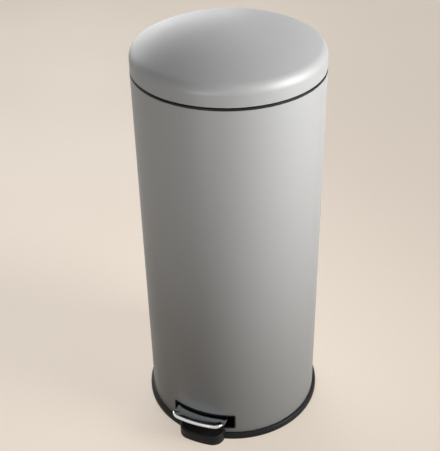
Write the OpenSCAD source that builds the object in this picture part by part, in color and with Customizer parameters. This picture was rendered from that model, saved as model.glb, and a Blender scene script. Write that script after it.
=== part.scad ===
// Round pedal bin with a domed lid, millimetres.
// The floor is z = 0, the bin's axis is the Z axis and the pedal points to -Y.

/* [Body] */
// Outside diameter of the body shell
body_d = 285; // [265:1:310]
// Sheet thickness of the shell and the lid
sheet_t = 0.8; // [0.6:0.1:1.2]
// Height of the shell's top edge
shell_top = 611.5; // [560:0.5:680]
// Height of the shell's bottom edge in the base
shell_bottom = 5; // [4.5:0.5:8]
// Height of the dark rim band above the shell
rim_h = 3; // [2:0.5:5]
// Width of the rim's top flange
rim_w = 9.5; // [8.5:0.5:11]
// Depth of the rim's spigot inside the shell
rim_depth = 12; // [8:1:15]

/* [Lid] */
// Open line between the rim and the lid
seam_gap = 1.7; // [1:0.1:3]
// How far the lid's skirt stands inside the shell's outer face
lid_inset = 0.3; // [0:0.1:1]
// Height of the lid from its lower edge to its crown
lid_h = 63.8; // [58:0.1:75]
// Radius of the rounded shoulder
shoulder_r = 18; // [12:1:24]
// Radius of the crown's sphere
crown_r = 293; // [270:1:330]
// Thickness of the inner lid panel
liner_t = 2.5; // [2:0.5:4]
// Height of the panel's underside above the lid's lower edge
liner_rise = 4.3; // [4.2:0.1:6]
// Opening angle of the lid
lid_swing = 78; // [60:1:84]

/* [Base] */
// How far the base ring stands out from the shell
base_flare = 6; // [4:0.5:8]
// Height of the base ring's top edge
ring_top = 11.5; // [10.5:0.5:13]
// Rounding of the base ring's outer edge
ring_round = 5.5; // [3:0.5:6.5]
// How far the toe under the pedal stands out from the base ring
toe_reach = 18; // [14:0.5:26]
// Width of the toe
toe_w = 78; // [60:1:90]
// Height of the toe's top above the base ring
toe_rise = 7.5; // [5:0.5:8.5]
// Corner radius of the toe
toe_corner = 20; // [12:1:24]
// Thickness of the pan's floor
pan_t = 3; // [2.5:0.5:4]
// Height of the deck that carries the bucket, above the pedal's slot
deck_rise = 3.3; // [2.5:0.1:12]
// Thickness of the deck
deck_t = 4; // [3.5:0.5:6]
// Distance of the wall that carries the deck from the shell's outer face
wall_inset = 27.5; // [26.5:0.5:34.5]
// Thickness of that wall
wall_t = 3; // [2.5:0.5:5]
// Diameter of a foot pad
pad_d = 16; // [12:1:20]
// How far the pads stand below the pan
pad_proud = 1; // [0.5:0.1:2]
// Number of foot pads
pad_count = 6; // [4:1:8]

/* [Pedal] */
// Width of the slot in the shell
slot_w = 107; // [102:1:112]
// Height of the slot's lower edge above the toe
slot_rise = 3; // [2.5:0.5:3.5]
// Height of the slot
slot_h = 26.7; // [25:0.1:29]
// Width of the trim's face round the slot
trim_w = 1.6; // [1:0.1:3]
// How far the pedal stands out from the shell
pedal_reach = 35; // [30:0.5:38]
// Gap between the pedal and each end of its slot
pedal_gap = 6.5; // [5:0.5:11]
// Thickness of the pedal's rolled edge
bead_w = 5; // [4:0.5:5.5]
// Height of the pedal's rolled edge
bead_h = 6; // [5.8:0.1:7]
// Distance of the tread's top below the slot's upper edge, at rest
tread_drop = 3.7; // [3.2:0.1:4.5]
// Height of the rolled edge's lower side above the tread's top
bead_rise = 7; // [5:0.5:9]
// Corner radius of the pedal
pedal_corner = 15.5; // [12:0.5:18]
// Thickness of the pedal's pressed plate
plate_t = 2; // [1.5:0.5:3]
// Travel of the pedal
pedal_swing = 7.4; // [6:0.1:7.5]

/* [Linkage] */
// Distance of the pedal's axle behind the shell's front
axle_setback = 82.5; // [78:0.5:88]
// Height of the pedal's axle above the slot's lower edge
axle_rise = 4; // [3:0.5:5]
// Diameter of the pedal's axle
axle_d = 8; // [6:0.5:9]
// Width of the lever's channel
lever_w = 20; // [18:1:22]
// Depth of the lever's channel
lever_h = 13; // [11.5:0.5:14]
// Sheet thickness of the lever
lever_t = 2; // [1.5:0.5:2.5]
// Diameter of the lift rod
rod_d = 4.5; // [4:0.5:5]
// Distance of the rod's middle from the shell's inner face
rod_inset = 7.9; // [7:0.1:8.5]
// Distance of the rod from the middle of the bin
rod_x = 14.5; // [14:0.5:16]
// Height of the rod's lower guide
guide_low = 200; // [160:5:240]
// Height of the rod's upper guide
guide_high = 420; // [360:5:460]
// Height of one guide
guide_h = 14; // [10:1:20]

/* [Hinge] */
// Diameter of the lid's hinge pin
pin_d = 5; // [4:0.5:6]
// Radius of the hinge barrel and the ears
barrel_r = 6.5; // [5.5:0.5:6.5]
// Width of the hinge leaf and its barrel
leaf_w = 44; // [36:1:50]
// Thickness of the hinge leaf
leaf_t = 4; // [3:0.5:4]
// Length of the hinge leaf in front of the pin
leaf_l = 54; // [48:1:62]
// Width of the horn that the rod lifts
horn_w = 8; // [6:1:10]
// Width of one housing ear
ear_w = 8.5; // [6:0.5:10]
// Width of the hinge housing
housing_w = 92; // [88:1:100]
// Depth of the hinge housing behind the shell
housing_depth = 35; // [30:0.5:38]
// Height of the hinge housing
housing_h = 44; // [40:1:60]
// Wall of the carrying grip
grip_wall = 4; // [3:0.5:6]
// Height of the finger pocket
pocket_h = 30; // [22:1:30]

/* [Bucket] */
// Clearance between the bucket's rim and the lift rod
bucket_gap = 1.55; // [1.5:0.05:4]
// How far the bucket narrows towards its bottom
bucket_taper = 8; // [4:0.5:14]
// Wall of the bucket
bucket_t = 2.2; // [1.6:0.1:3]
// Distance of the bucket's rim below the shell's top edge
bucket_drop = 46.5; // [46:0.5:120]
// How far the bucket's rim stands out
bucket_rim = 2; // [1:0.5:2.5]
// Diameter of the bail's wire
bail_d = 4.5; // [3.5:0.5:5]
// Diameter of the bail's grip
grip_d = 9; // [7:0.5:9]
// Angle that the grip covers
grip_angle = 26; // [16:1:40]

/* [Fits] */
// Radial clearance of a running fit
run_fit = 0.05; // [0.02:0.01:0.1]
// Clearance between fixed pieces
seat_gap = 0.1; // [0.05:0.01:0.15]
// Clearance between pieces that move past each other
move_gap = 0.4; // [0.3:0.05:0.6]
// Clearance of the rod in the lever and its guides
rod_gap = 0.6; // [0.5:0.05:0.8]
// Extra width of the horn's slot, which takes up the arc of its swing
horn_ease = 0.85; // [0.75:0.05:1]

/* [Hidden] */
$fn = 96;

// Cuts run this far past the faces that they open
over = 1;

// A worked-out length, rounded to a hundredth so that faces meet
function snap(length) = round(length * 100) / 100;

body_r = body_d / 2;
inner_r = body_r - sheet_t;
base_r = body_r + base_flare;
toe_front = base_r + toe_reach;
toe_top = ring_top + toe_rise;
slot_bottom = toe_top + slot_rise;
slot_top = slot_bottom + slot_h;
deck_z = slot_top + deck_rise;
rim_top = shell_top + rim_h;
rim_in_r = body_r - rim_w;
rim_spigot_t = 2.5;

lid_r = body_r - lid_inset;
lid_bottom = rim_top + seam_gap;
lid_top = lid_bottom + lid_h;
crown_z = lid_top - crown_r;
shoulder_x = lid_r - shoulder_r;
shoulder_z = crown_z + sqrt(pow(crown_r - shoulder_r, 2) - pow(shoulder_x, 2));
liner_z = lid_bottom + liner_rise;
liner_r = lid_r - sheet_t - seat_gap;
liner_lip_t = 2;
liner_lip_h = 3.5;
liner_bead_inset = 52.2;
liner_bead_r = lid_r - liner_bead_inset;
liner_bead_w = 3;
liner_bead_h = 1.5;

// The lever turns about the axle and lifts the rod by lift over the pedal's travel
axle_y = axle_setback - body_r;
axle_z = slot_bottom + axle_rise;
rod_y = inner_r - rod_inset;
lever_rear = snap((rod_y - axle_y) * 2 / (1 + cos(pedal_swing / 2)));
lift = snap(2 * lever_rear * sin(pedal_swing / 2));
rod_low = axle_z - lift / 2;

// The horn turns with the lid, evenly above and below the height of its pin
swing_rad = lid_swing * PI / 180;
horn_lead = 1.125;
horn_reach = snap(lift / (horn_lead * swing_rad));
pin_y = rod_y + horn_reach;
pin_rise = 0.8;
pin_z = lid_bottom + pin_rise;
rod_high = pin_z - lift / 2;
horn_far = sqrt(pow(horn_reach, 2) + pow(lift / 2, 2));
horn_slot_r = rod_d / 2 + horn_ease;
horn_wall = 3;
horn_r = horn_slot_r + horn_wall;

pan_z = pad_proud;
pan_top = pan_z + pan_t;
pad_depth = 1.5;
pad_inset = 12.5;
pad_ring_r = body_r - pad_inset;
groove_in_r = inner_r - seat_gap;
groove_out_r = body_r + seat_gap;
spigot_t = 2.4;
spigot_drop = 2;
spigot_top = slot_bottom - spigot_drop;
wall_r = body_r - wall_inset;
lug_t = 5.5;
lug_gap = 1.5;
lug_x = lever_w / 2 + lug_gap;
lug_wall = 5;
window_gap = 4;
window_bridge = 4;
front_window_gap = 13;
tongue_w = 30;
tongue_t = 2.5;
tongue_back = 38;
tongue_front = 76;
tongue_lap = 16;
deck_gap = 4.7;
deck_r = inner_r - deck_gap;
deck_top = deck_z + deck_t;
rod_notch = 6;

// Width and half length of a screw's cross recess, as shares of the head's diameter
recess_slot = 0.17;
recess_reach = 0.3;

deck_screw_d = 3;
deck_screw_l = 16;
deck_head_d = 7;
deck_head_h = 2;
boss_d = 9;
boss_ring_r = wall_r - wall_t / 2;
boss_angles = [45, 135, 225, 315];

trim_proud = 0.9;
trim_lip = 0.6;

tread_z = slot_top - tread_drop;
plate_z = tread_z - plate_t;
bead_z = tread_z + bead_rise;
pedal_r = body_r + pedal_reach - bead_w / 2;
pedal_half = slot_w / 2 - pedal_gap - bead_w / 2;
pedal_back = 24.5;
bead_angles = [0, 25, 50, 75];
lip_t = 2;
lip_gap = 3.5;
lip_slope = 32;
rivet_x = 9;
rivet_setback = 16.5;
rivet_d = 5;
rivet_head_d = 9;
rivet_head_h = 1.6;
rivet_tail_d = 7;

clip_t = 1.2;
clip_d = 10;
axle_clip_d = 14;
rod_bend = 4;
rod_end = 2;
low_pin_l = lever_w / 2 + move_gap + clip_t + rod_end;
high_pin_l = horn_w / 2 + move_gap + clip_t + rod_end;

ear_x = leaf_w / 2 + move_gap;
housing_drop = 17;
housing_top = pin_z - housing_drop;
housing_low = housing_top - housing_h;
housing_back = body_r + housing_depth;
housing_corner = 12;
housing_root = body_r * 0.9;
pocket_margin = 13;
pocket_w = housing_w - 2 * pocket_margin;
notch_gap = 2.5;
notch_drop = 16;
horn_notch = horn_w / 2 + notch_gap;
notch_low = pin_z - notch_drop;
cap_d = 9;
cap_t = 2.5;
cap_end_t = 0.5;

plate_back_t = 2;
plate_back_w = housing_w;
plate_back_h = 36;
plate_back_rise = 1;
screw_d = 4;
screw_head_d = 8;
screw_head_h = 2.4;
screw_l = 12;
screw_angle = 15.5;
screw_rise = [10, 28];

leaf_screw_d = 3;
leaf_head_d = 6.5;
leaf_head_h = 2;
leaf_screw_l = 9;
leaf_screw_x = 14;
leaf_screw_ys = [26, 44];
leaf_boss_d = 8;
leaf_boss_h = 6;
buffer_d = 6;
buffer_past = 1;
buffer_r = rim_in_r + buffer_d / 2;
buffer_angles = [35, 145, 215, 325];
rest_gap = 0.3;

guide_zs = [guide_low, guide_high];
guide_side = 7;
guide_front = 5.5;
guide_flange_t = 3;
guide_flange_x = 8;
guide_rivet_d = 4;
guide_head_d = 8;
guide_head_t = 1.2;

bucket_z = deck_top + rest_gap;
bucket_top = shell_top - bucket_drop;
bucket_rim_h = 8;
bucket_rim_r = rod_y - rod_d / 2 - bucket_gap;
bucket_top_r = bucket_rim_r - bucket_rim;
bucket_bottom_r = bucket_top_r - bucket_taper;
bail_proud = 0.25;
bail_r = bucket_rim_r - bail_d / 2 + bail_proud;
bail_z = bucket_top + grip_d / 2 + rest_gap;
bail_ear_t = 4;
bail_ear_gap = 0.7;
bail_ear_r = 6;
bail_ear_out = bail_r - bail_d / 2 - bail_ear_gap;
bail_ear_in = bail_ear_out - bail_ear_t;
bail_ear_drop = 14;
bail_pin_past = 1.5;

// Colours
silver_grey = [0.62, 0.62, 0.61];
black_plastic = [0.06, 0.06, 0.06];
dark_plastic = [0.14, 0.14, 0.15];
rubber_black = [0.03, 0.03, 0.03];
steel_grey = [0.55, 0.56, 0.58];
chrome_bright = [0.85, 0.86, 0.88];
bucket_grey = [0.22, 0.23, 0.24];

module ring(r_out, r_in, z, h) {
    translate([0, 0, z])
        difference() {
            cylinder(r = r_out, h = h);
            translate([0, 0, -over])
                cylinder(r = r_in, h = h + 2 * over);
        }
}

// A box from corner to corner
module block(low, high) {
    translate(low)
        cube(high - low);
}

// A cylinder along X between two places
module bar_x(d, x0, x1, y, z) {
    translate([x0, y, z])
        rotate([0, 90, 0])
            cylinder(d = d, h = x1 - x0);
}

// A cylinder along Y between two places
module bar_y(d, x, y0, y1, z) {
    translate([x, y0, z])
        rotate([-90, 0, 0])
            cylinder(d = d, h = y1 - y0);
}

// Turns an outline in Y and Z into a solid across X
module across(width) {
    translate([-width / 2, 0, 0])
        rotate([90, 0, 90])
            linear_extrude(width)
                children();
}

// Half of the place of an arc front's corner circle
function corner_x(half_w, corner) = half_w - corner;
function corner_y(front_r, half_w, corner) =
    sqrt(pow(front_r - corner, 2) - pow(corner_x(half_w, corner), 2));

// Outline with straight sides and a front that is an arc about the bin's axis, towards -Y
module arc_front(front_r, half_w, corner, back) {
    cx = corner_x(half_w, corner);
    cy = corner_y(front_r, half_w, corner);
    far = 2 * front_r;
    intersection() {
        circle(r = front_r);
        polygon([[0, 0], [-cx * far / cy, -far], [cx * far / cy, -far]]);
        translate([-half_w, -far])
            square([2 * half_w, far - back]);
    }
    for (side = [-1, 1])
        translate([side * cx, -cy])
            circle(r = corner);
    translate([-half_w, -cy])
        square([2 * half_w, cy - back]);
}

module body_shell() {
    color(silver_grey)
        difference() {
            ring(body_r, inner_r, shell_bottom, shell_top - shell_bottom);
            block([-slot_w / 2, -body_r - over, slot_bottom], [slot_w / 2, 0, slot_top]);
            block([-horn_notch, 0, notch_low], [horn_notch, body_r + over, shell_top + over]);
            housing_screw_places()
                cylinder(d = screw_d + 2 * seat_gap, h = body_r + over);
            for (z = guide_zs)
                bar_y(guide_rivet_d + 2 * seat_gap, 0, 0, body_r + over, z);
        }
}

module rim_ring() {
    spigot_out = inner_r - seat_gap;
    color(black_plastic)
        difference() {
            union() {
                ring(body_r, rim_in_r, shell_top, rim_h);
                ring(spigot_out, spigot_out - rim_spigot_t, shell_top - rim_depth, rim_depth + rim_h / 2);
            }
            block(
                [-horn_notch, 0, shell_top - rim_depth - over],
                [horn_notch, body_r + over, rim_top + over]
            );
            block(
                [-high_pin_l - over, 0, shell_top - over],
                [rod_x + rod_notch, rod_y + clip_d / 2 + over, rim_top + over]
            );
        }
}

module base_pan() {
    color(black_plastic)
        difference() {
            union() {
                translate([0, 0, pan_z])
                    cylinder(r = base_r, h = pan_t);
                rotate_extrude()
                    ring_section();
                ring(groove_in_r, groove_in_r - spigot_t, pan_z + over, spigot_top - pan_z - over);
                ring(wall_r, wall_r - wall_t, pan_z + over, deck_z - pan_z - over);
                toe();
                for (a = boss_angles)
                    rotate([0, 0, a])
                        translate([boss_ring_r, 0, pan_z + over])
                            cylinder(d = boss_d, h = deck_z - pan_z - over);
                for (side = [-1, 1])
                    translate([side * (lug_x + lug_t / 2), 0, 0])
                        across(lug_t)
                            lug_outline();
            }
            ring(groove_out_r, groove_in_r, shell_bottom, ring_top);
            lever_window(lever_w / 2 + window_gap, 0, inner_r, pan_top, deck_z - window_bridge);
            lever_window(tongue_w / 2 + window_gap, -wall_r - over, axle_y - front_window_gap,
                pan_top, deck_z - window_bridge);
            bar_x(axle_d + 2 * seat_gap, -lug_x - lug_t - over, lug_x + lug_t + over, axle_y, axle_z);
            deck_screw_places()
                cylinder(d = deck_screw_d + 2 * seat_gap, h = deck_screw_l + over);
            foot_places()
                translate([0, 0, -over])
                    cylinder(d = pad_d + 2 * seat_gap, h = pad_proud + pad_depth + over);
        }
}

module ring_section() {
    edge_r = min(ring_round, base_r - groove_out_r);
    round_x = base_r - edge_r;
    translate([groove_in_r, pan_z])
        square([base_r - groove_in_r, ring_top - edge_r - pan_z]);
    translate([groove_in_r, pan_z])
        square([round_x - groove_in_r, ring_top - pan_z]);
    translate([round_x, ring_top - edge_r])
        circle(r = edge_r);
}

module toe() {
    translate([0, 0, pan_z])
        linear_extrude(toe_top - pan_z)
            difference() {
                arc_front(toe_front, toe_w / 2, toe_corner, 0);
                circle(r = groove_out_r + seat_gap);
            }
}

module lug_outline() {
    lug_r = axle_d / 2 + lug_wall;
    translate([axle_y, axle_z])
        circle(r = lug_r);
    translate([axle_y - lug_r, pan_z + over])
        square([2 * lug_r, axle_z - pan_z - over]);
}

module lever_window(half_w, y0, y1, z0, z1) {
    block([-half_w, y0, z0], [half_w, y1, z1]);
}

module foot_places() {
    for (i = [0 : pad_count - 1])
        rotate([0, 0, (i + 0.5) * 360 / pad_count - 90])
            translate([pad_ring_r, 0, 0])
                children();
}

module foot_pads() {
    color(rubber_black)
        foot_places()
            cylinder(d = pad_d, h = pad_proud + pad_depth - seat_gap / 2);
}

module deck_screw_places() {
    for (a = boss_angles)
        rotate([0, 0, a])
            translate([boss_ring_r, 0, deck_top - deck_head_h - deck_screw_l])
                children();
}

module bucket_deck() {
    color(dark_plastic)
        difference() {
            translate([0, 0, deck_z])
                cylinder(r = deck_r, h = deck_t);
            block([rod_x - rod_notch, rod_y - rod_notch, deck_z - over],
                [rod_x + rod_notch, body_r, deck_top + over]);
            deck_screw_places() {
                cylinder(d = deck_screw_d + 2 * seat_gap, h = 2 * deck_screw_l);
                translate([0, 0, deck_screw_l - seat_gap])
                    cylinder(d = deck_head_d + 4 * seat_gap, h = deck_screw_l);
            }
        }
}

module deck_screws() {
    color(steel_grey)
        deck_screw_places() {
            cylinder(d = deck_screw_d, h = deck_screw_l + over);
            translate([0, 0, deck_screw_l])
                difference() {
                    cylinder(d = deck_head_d, h = deck_head_h - seat_gap);
                    cross_recess(deck_head_d, deck_head_h - seat_gap);
                }
        }
}

// Cross-shaped recess in the top of a screw head of height h
module cross_recess(d, h) {
    slot = d * recess_slot;
    reach = d * recess_reach;
    for (a = [0, 90])
        rotate([0, 0, a])
            translate([-reach, -slot / 2, h / 2])
                cube([2 * reach, slot, h]);
}

module slot_trim() {
    color(black_plastic)
        difference() {
            union() {
                curved_frame(body_r + trim_proud, body_r + seat_gap / 2, trim_w);
                curved_frame(body_r + trim_proud, inner_r - trim_proud, -seat_gap);
            }
            block([-slot_w / 2 + trim_lip, -2 * body_r, slot_bottom + trim_lip],
                [slot_w / 2 - trim_lip, 0, slot_top - trim_lip]);
        }
}

// Part of a ring at the slot, wider than the slot by grow on each side
module curved_frame(r_out, r_in, grow) {
    intersection() {
        ring(r_out, r_in, slot_bottom - grow, slot_h + 2 * grow);
        block([-slot_w / 2 - grow, -2 * body_r, 0], [slot_w / 2 + grow, 0, shell_top]);
    }
}

module hinge_housing() {
    color(black_plastic)
        difference() {
            union() {
                translate([0, 0, housing_low])
                    linear_extrude(housing_h)
                        housing_outline();
                for (side = [-1, 1])
                    translate([side * (ear_x + ear_w / 2), 0, 0])
                        across(ear_w)
                            ear_outline();
            }
            block([-pocket_w / 2, body_r + grip_wall, housing_low - over],
                [pocket_w / 2, housing_back - grip_wall, housing_low + pocket_h]);
            bar_x(pin_d + 2 * run_fit, -housing_w, housing_w, pin_y, pin_z);
            housing_screw_places()
                cylinder(d = screw_d + 2 * run_fit, h = screw_tip() + over);
        }
}

module housing_outline() {
    corner_in = housing_w / 2 - housing_corner;
    difference() {
        union() {
            translate([-housing_w / 2, housing_root])
                square([housing_w, housing_back - housing_corner - housing_root]);
            translate([-corner_in, housing_root])
                square([2 * corner_in, housing_back - housing_root]);
            for (side = [-1, 1])
                translate([side * corner_in, housing_back - housing_corner])
                    circle(r = housing_corner);
        }
        circle(r = body_r + seat_gap);
    }
}

module ear_outline() {
    translate([pin_y, pin_z])
        circle(r = barrel_r);
    translate([pin_y - barrel_r, housing_top - over])
        square([2 * barrel_r, pin_z - housing_top + over]);
}

// The screws point outwards from the shell's inner side
function screw_head_in() = inner_r - plate_back_t - 2 * seat_gap;
function screw_tip() = screw_head_in() + screw_l;

module housing_screw_places() {
    for (a = [-screw_angle, screw_angle], rise = screw_rise)
        rotate([0, 0, a])
            translate([0, 0, housing_low + rise])
                rotate([-90, 0, 0])
                    children();
}

module backing_plate() {
    color(steel_grey)
        difference() {
            intersection() {
                ring(inner_r - seat_gap, inner_r - plate_back_t, housing_low + plate_back_rise, plate_back_h);
                block([-plate_back_w / 2, 0, 0], [plate_back_w / 2, body_r, shell_top]);
            }
            housing_screw_places()
                cylinder(d = screw_d + 2 * seat_gap, h = body_r);
        }
}

module housing_screws() {
    color(steel_grey)
        housing_screw_places() {
            translate([0, 0, screw_head_in() - over])
                cylinder(d = screw_d, h = screw_l + over);
            translate([0, 0, screw_head_in()])
                mirror([0, 0, 1])
                    difference() {
                        cylinder(d = screw_head_d, h = screw_head_h);
                        cross_recess(screw_head_d, screw_head_h);
                    }
        }
}

module hinge_pin() {
    pin_half = ear_x + ear_w + cap_t - cap_end_t;
    color(steel_grey)
        bar_x(pin_d, -pin_half, pin_half, pin_y, pin_z);
}

module pin_caps() {
    cap_x = ear_x + ear_w + seat_gap;
    color(black_plastic)
        for (side = [0, 1])
            mirror([side, 0, 0])
                difference() {
                    bar_x(cap_d, cap_x, cap_x + cap_t, pin_y, pin_z);
                    bar_x(pin_d + 2 * run_fit, cap_x - over, cap_x + cap_t - cap_end_t, pin_y, pin_z);
                }
}

module rod_guides() {
    color(black_plastic)
        for (z = guide_zs)
            translate([0, 0, z - guide_h / 2])
                difference() {
                    linear_extrude(guide_h)
                        guide_outline();
                    bar_y(guide_rivet_d + 2 * seat_gap, 0, 0, body_r, guide_h / 2);
                }
}

module guide_outline() {
    out_r = inner_r - seat_gap;
    difference() {
        intersection() {
            circle(r = out_r);
            union() {
                translate([rod_x - guide_side, rod_y - guide_front])
                    square([2 * guide_side, body_r]);
                difference() {
                    translate([-guide_flange_x, 0])
                        square([guide_flange_x + rod_x, body_r]);
                    circle(r = out_r - guide_flange_t);
                }
            }
        }
        translate([rod_x, rod_y])
            circle(d = rod_d + 2 * rod_gap);
    }
}

module guide_rivets() {
    flange_face = inner_r - seat_gap - guide_flange_t - seat_gap;
    color(steel_grey)
        for (z = guide_zs) {
            bar_y(guide_rivet_d, 0, flange_face - over, body_r + over, z);
            bar_y(guide_head_d, 0, body_r + seat_gap, body_r + seat_gap + guide_head_t, z);
            bar_y(guide_head_d, 0, flange_face - guide_head_t, flange_face, z);
        }
}

module pedal_axle() {
    axle_half = lug_x + lug_t + clip_t + rod_end;
    color(steel_grey)
        bar_x(axle_d, -axle_half, axle_half, axle_y, axle_z);
}

module axle_clips() {
    clip_x = lug_x + lug_t + seat_gap;
    color(steel_grey)
        for (side = [0, 1])
            mirror([side, 0, 0])
                difference() {
                    bar_x(axle_clip_d, clip_x, clip_x + clip_t, axle_y, axle_z);
                    bar_x(axle_d + 2 * run_fit, clip_x - over, clip_x + clip_t + over, axle_y, axle_z);
                }
}

// Half section of the lid, set in by wall from its outer face and open down to bottom
module lid_section(wall, bottom) {
    out_r = lid_r - wall;
    touch = (crown_r - wall) / (crown_r - shoulder_r);
    touch_x = shoulder_x * touch;
    touch_z = crown_z + (shoulder_z - crown_z) * touch;
    polygon([
        [0, bottom], [out_r, bottom], [out_r, shoulder_z], [shoulder_x, shoulder_z],
        [touch_x, touch_z], [0, touch_z]
    ]);
    translate([shoulder_x, shoulder_z])
        intersection() {
            circle(r = shoulder_r - wall);
            square(shoulder_r);
        }
    intersection() {
        translate([0, crown_z])
            circle(r = crown_r - wall);
        translate([0, touch_z])
            square([lid_r, lid_h]);
    }
}

module lid_dome() {
    color(silver_grey)
        difference() {
            rotate_extrude()
                lid_section(0, lid_bottom);
            rotate_extrude()
                lid_section(sheet_t, lid_bottom - over);
            block([-leaf_w / 2 - over, 0, lid_bottom - over],
                [leaf_w / 2 + over, body_r, liner_z + over]);
        }
}

module lid_liner() {
    color(black_plastic)
        difference() {
            union() {
                translate([0, 0, liner_z])
                    cylinder(r = liner_r, h = liner_t);
                ring(liner_r, liner_r - liner_lip_t, liner_z - liner_lip_h, liner_lip_h + over);
                ring(liner_bead_r, liner_bead_r - liner_bead_w, liner_z - liner_bead_h, liner_bead_h + over);
                leaf_screw_places()
                    translate([0, 0, leaf_t])
                        cylinder(d = leaf_boss_d, h = liner_t + leaf_boss_h);
            }
            block([-leaf_w / 2 - over, liner_bead_r, liner_z - liner_lip_h - over],
                [leaf_w / 2 + over, body_r, liner_z]);
            leaf_screw_places()
                cylinder(d = leaf_screw_d + 2 * run_fit, h = leaf_screw_l + over);
            buffer_places()
                cylinder(d = buffer_d / 2 + 2 * seat_gap, h = lid_h / 2);
        }
}

// From the leaf's lower face upwards
module leaf_screw_places() {
    for (x = [-leaf_screw_x, leaf_screw_x], y = leaf_screw_ys)
        translate([x, pin_y - y, liner_z - leaf_t])
            children();
}

module lid_hinge() {
    color(dark_plastic)
        difference() {
            union() {
                across(leaf_w)
                    leaf_outline();
                across(horn_w)
                    horn_outline();
            }
            bar_x(pin_d + 2 * run_fit, -leaf_w, leaf_w, pin_y, pin_z);
            leaf_screw_places()
                translate([0, 0, -over])
                    cylinder(d = leaf_screw_d + 2 * seat_gap, h = leaf_t + 2 * over);
        }
}

module leaf_outline() {
    translate([pin_y, pin_z])
        circle(r = barrel_r);
    translate([pin_y - leaf_l, liner_z - leaf_t])
        square([leaf_l, leaf_t - seat_gap]);
}

module horn_outline() {
    translate([pin_y, pin_z])
        rotate(180 + lid_swing / 2)
            difference() {
                union() {
                    translate([0, -horn_r])
                        square([horn_far, 2 * horn_r]);
                    translate([horn_far, 0])
                        circle(r = horn_r);
                }
                for (x = [horn_reach, horn_far])
                    translate([x, 0])
                        circle(r = horn_slot_r);
                translate([horn_reach, -horn_slot_r])
                    square([horn_far - horn_reach, 2 * horn_slot_r]);
            }
}

module hinge_screws() {
    color(steel_grey)
        leaf_screw_places() {
            translate([0, 0, -over])
                cylinder(d = leaf_screw_d, h = leaf_screw_l + over);
            translate([0, 0, -seat_gap])
                mirror([0, 0, 1])
                    difference() {
                        cylinder(d = leaf_head_d, h = leaf_head_h);
                        cross_recess(leaf_head_d, leaf_head_h);
                    }
        }
}

module buffer_places() {
    for (a = buffer_angles)
        rotate([0, 0, a])
            translate([buffer_r, 0, rim_top + rest_gap])
                children();
}

module lid_buffers() {
    stem = liner_z - rim_top - rest_gap;
    color(rubber_black)
        buffer_places() {
            cylinder(d = buffer_d, h = stem - seat_gap / 2);
            cylinder(d = buffer_d / 2, h = stem + liner_t + buffer_past);
        }
}

module lift_rod() {
    color(steel_grey) {
        translate([rod_x, rod_y, rod_low + rod_bend])
            cylinder(d = rod_d, h = rod_high - rod_low - 2 * rod_bend);
        rod_hook(rod_low, -1, low_pin_l);
        rod_hook(rod_high, 1, high_pin_l);
    }
}

// Bend at an end of the rod and the pin beyond it, at height z; way is 1 at the top and -1 at the foot
module rod_hook(z, way, reach) {
    translate([rod_x - rod_bend, rod_y, z - way * rod_bend])
        rotate([way * 90, 0, 0])
            rotate_extrude(angle = 90)
                translate([rod_bend, 0])
                    circle(d = rod_d);
    bar_x(rod_d, -reach, rod_x - rod_bend, rod_y, z);
}

module rod_clips() {
    color(black_plastic) {
        rod_clip(lever_w / 2 + move_gap, rod_low);
        rod_clip(horn_w / 2 + move_gap, rod_high);
    }
}

module rod_clip(x, z) {
    difference() {
        bar_x(clip_d, -x - clip_t, -x, rod_y, z);
        bar_x(rod_d + 2 * run_fit, -x - clip_t - over, -x + over, rod_y, z);
    }
}

// Turns the lever's own outline to where the lever lies at rest
module lever_place() {
    translate([0, axle_y, axle_z])
        rotate([-pedal_swing / 2, 0, 0])
            children();
}

module pedal_lever() {
    web_z = lever_h / 2;
    tail = rod_d;
    nose = tongue_back + tongue_lap;
    color(steel_grey)
        difference() {
            union() {
                lever_place()
                    difference() {
                        block([-lever_w / 2, -nose, -lever_h / 2], [lever_w / 2, lever_rear + tail, web_z]);
                        block([-lever_w / 2 + lever_t, -nose - over, -lever_h / 2 - over],
                            [lever_w / 2 - lever_t, lever_rear + tail + over, web_z - lever_t]);
                    }
                block([-tongue_w / 2, axle_y - tongue_front, plate_z - tongue_t],
                    [tongue_w / 2, axle_y - tongue_back, plate_z]);
                for (side = [0, 1])
                    mirror([side, 0, 0])
                        block([lever_w / 2 - lever_t, axle_y - tongue_back - tongue_lap + over, axle_z],
                            [lever_w / 2, axle_y - tongue_back, plate_z - tongue_t / 2]);
            }
            lever_place() {
                bar_x(axle_d + 2 * run_fit, -lever_w, lever_w, 0, 0);
                bar_x(rod_d + 2 * rod_gap, -lever_w, lever_w, lever_rear, 0);
            }
            pedal_rivet_places()
                cylinder(d = rivet_d + 2 * seat_gap, h = deck_z, center = true);
        }
}

module pedal_rivet_places() {
    for (x = [-rivet_x, rivet_x])
        translate([x, rivet_setback - body_r, plate_z])
            children();
}

module pedal_plate() {
    color(chrome_bright)
        difference() {
            union() {
                translate([0, 0, plate_z])
                    linear_extrude(plate_t)
                        pedal_outline(0, body_r - pedal_back);
                difference() {
                    pedal_lip();
                    lip_ends();
                }
            }
            pedal_rivet_places()
                translate([0, 0, -over])
                    cylinder(d = rivet_d + 2 * seat_gap, h = plate_t + 2 * over);
        }
}

// Upturned edge of the tread, with a rolled bead along its top
module pedal_lip() {
    end_r = bead_w / 2;
    lip_band(lip_t / 2, plate_z, bead_z + bead_h / 2);
    for (angle = bead_angles) {
        half = snap(end_r * cos(angle));
        drop = snap(end_r * (1 - sin(angle)));
        lip_band(half, bead_z + drop, bead_z + bead_h - drop);
    }
}

module lip_band(half, low, high) {
    lip_end = body_r + lip_gap;
    translate([0, 0, low])
        linear_extrude(high - low)
            difference() {
                pedal_outline(half, lip_end);
                pedal_outline(-half, lip_end - over);
            }
}

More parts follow.
